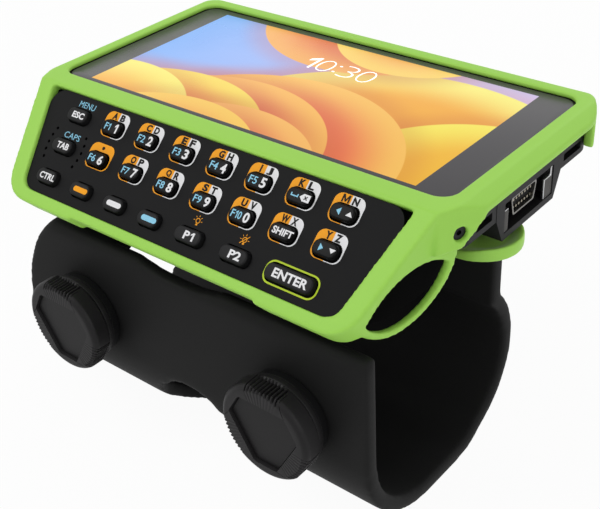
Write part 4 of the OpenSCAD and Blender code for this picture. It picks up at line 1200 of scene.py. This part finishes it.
def knob_mesh():
    groove = KNOB_T - GRIP_DEPTH
    collar = groove - GROOVE_W
    profile = [(BORE_R, CUP_DEPTH), (BORE_R, POCKET_FLOOR), (POCKET_R, POCKET_FLOOR), (POCKET_R, KNOB_T),
               (KNOB_R, KNOB_T), (KNOB_R, groove), (NECK_R, groove - GROOVE_SLANT),
               (NECK_R, collar + GROOVE_SLANT), (COLLAR_R, collar), (COLLAR_R, 0), (CUP_R, 0),
               (CUP_R, CUP_DEPTH)]
    bm = turned_body(profile, KNOB_STEPS)
    round_edges(bm, hoop(bm, KNOB_R, KNOB_T), EDGE_R, 8)
    round_edges(bm, hoop(bm, KNOB_R, groove), LIP_R, 3)
    for height in (collar, 0):
        round_edges(bm, hoop(bm, COLLAR_R, height), COLLAR_EDGE_R, 3)
    press_ribs(bm)
    return cut(cut(mesh_of(bm), recess_cutter()), split_cutter())


def cap_mesh():
    bm = bmesh.new()
    raise_face(bm, three_sided(bm, 0), CAP_T)
    round_edges(bm, uprights(bm), FACE_CORNER, 3)
    round_edges(bm, rim(bm, CAP_T), FACE_RIM, 2)
    return mesh_of(bm, Matrix.Translation((0, 0, KNOB_T - FACE_DEPTH - CAP_T)))


for side in ("left", "right"):
    low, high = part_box("dial_spindle_" + side)
    centre = (low + high) / 2
    stand = Matrix.Translation((centre.x, KNOB_HIGH.y, centre.z)) @ Matrix.Rotation(math.pi / 2, 4, "X")
    for name, mesh, material, slot in (("knob", knob_mesh(), dial_plastic, "knob_plastic"),
                                       ("cap", cap_mesh(), dial_face, "knob_cap")):
        mesh.transform(stand)
        count = triangles(mesh)
        piece = "dial_" + name + "_piece_" + side
        put(piece, mesh, [material], "knob_" + side, ["dial_" + name + "_" + side], even=True)
        print(name, side, count)

# %% [markdown]
# ## Floor, light and background
#
# The room is white. What the camera and the reflections see is plain white, from the world and from a floor
# that keeps a soft shadow. The light is a large soft lamp above the front left, weaker ones from the right
# and from the rear, and an even glow from all round, at a level where a colour renders about as it is
# written.

# %% Floor, light and background
WORLD_LEVEL, PURE_WHITE = 0.42, (1, 1, 1, 1)
FLOOR_COLOR, FLOOR_ROUGH, FLOOR_SHARE, FLOOR_SIZE, FLOOR_Z = (0.92, 0.92, 0.92, 1), 0.9, 0.95, 3.0, -0.1 * MM
AIM = (0, 0, 0.05)
# Name, place, size and power
LAMPS = [("key_lamp", (-0.5, -0.55, 0.95), 0.7, 5.0), ("right_lamp", (0.95, -0.25, 0.5), 0.6, 2.2),
         ("rear_lamp", (0.1, 0.9, 0.7), 0.6, 2.0)]


def white_ray(tree):
    """1 where the ray comes from the camera, a reflection or glass."""
    path = add(tree, "ShaderNodeLightPath").outputs
    seen = math_node(tree, "MAXIMUM", path["Is Camera Ray"], path["Is Glossy Ray"])
    return math_node(tree, "MAXIMUM", seen, path["Is Transmission Ray"])


def show_white(tree, lit, kind, share, end):
    """Mixes a shader with a plain white one, and ends the tree with both."""
    white = add(tree, kind, {"Color": PURE_WHITE, "Strength": 1.0})
    both = add(tree, "ShaderNodeMixShader", {"Fac": share, "Shader": lit.outputs[0],
               "Shader_001": white.outputs[0]})
    feed(tree, tree.nodes[end], {"Surface": both.outputs[0]})


def build_world(strength):
    world = bpy.data.worlds.new("white_room")
    bpy.context.scene.world = world
    world.use_nodes = True
    tree = world.node_tree
    soft = tree.nodes["Background"]
    feed(tree, soft, {"Strength": strength, "Color": PURE_WHITE})
    show_white(tree, soft, "ShaderNodeBackground", white_ray(tree), "World Output")


def build_floor(size, height):
    bm = bmesh.new()
    bmesh.ops.create_grid(bm, x_segments=1, y_segments=1, size=size)
    mesh = mesh_of(bm, Matrix.Translation((0, 0, height)))
    material, tree, shader = new_material("white_floor")
    feed(tree, shader, {"Base Color": FLOOR_COLOR, "Roughness": FLOOR_ROUGH})
    share = math_node(tree, "MULTIPLY", white_ray(tree), FLOOR_SHARE)
    show_white(tree, shader, "ShaderNodeEmission", share, "Material Output")
    mesh.materials.append(material)
    floor = carried("floor", mesh)


def soft_lamp(name, place, aim, size, power):
    lamp = bpy.data.lights.new(name, "AREA")
    lamp.size = size
    lamp.energy = power
    made = carried(name, lamp)
    made.location = place
    made.rotation_euler = (Vector(aim) - Vector(place)).to_track_quat("-Z", "Y").to_euler()


bpy.context.scene.view_settings.view_transform = "Standard"
build_world(WORLD_LEVEL)
build_floor(FLOOR_SIZE, FLOOR_Z)
for name, place, size, power in LAMPS:
    soft_lamp(name, place, AIM, size, power)
print("lamps", len(bpy.data.lights))
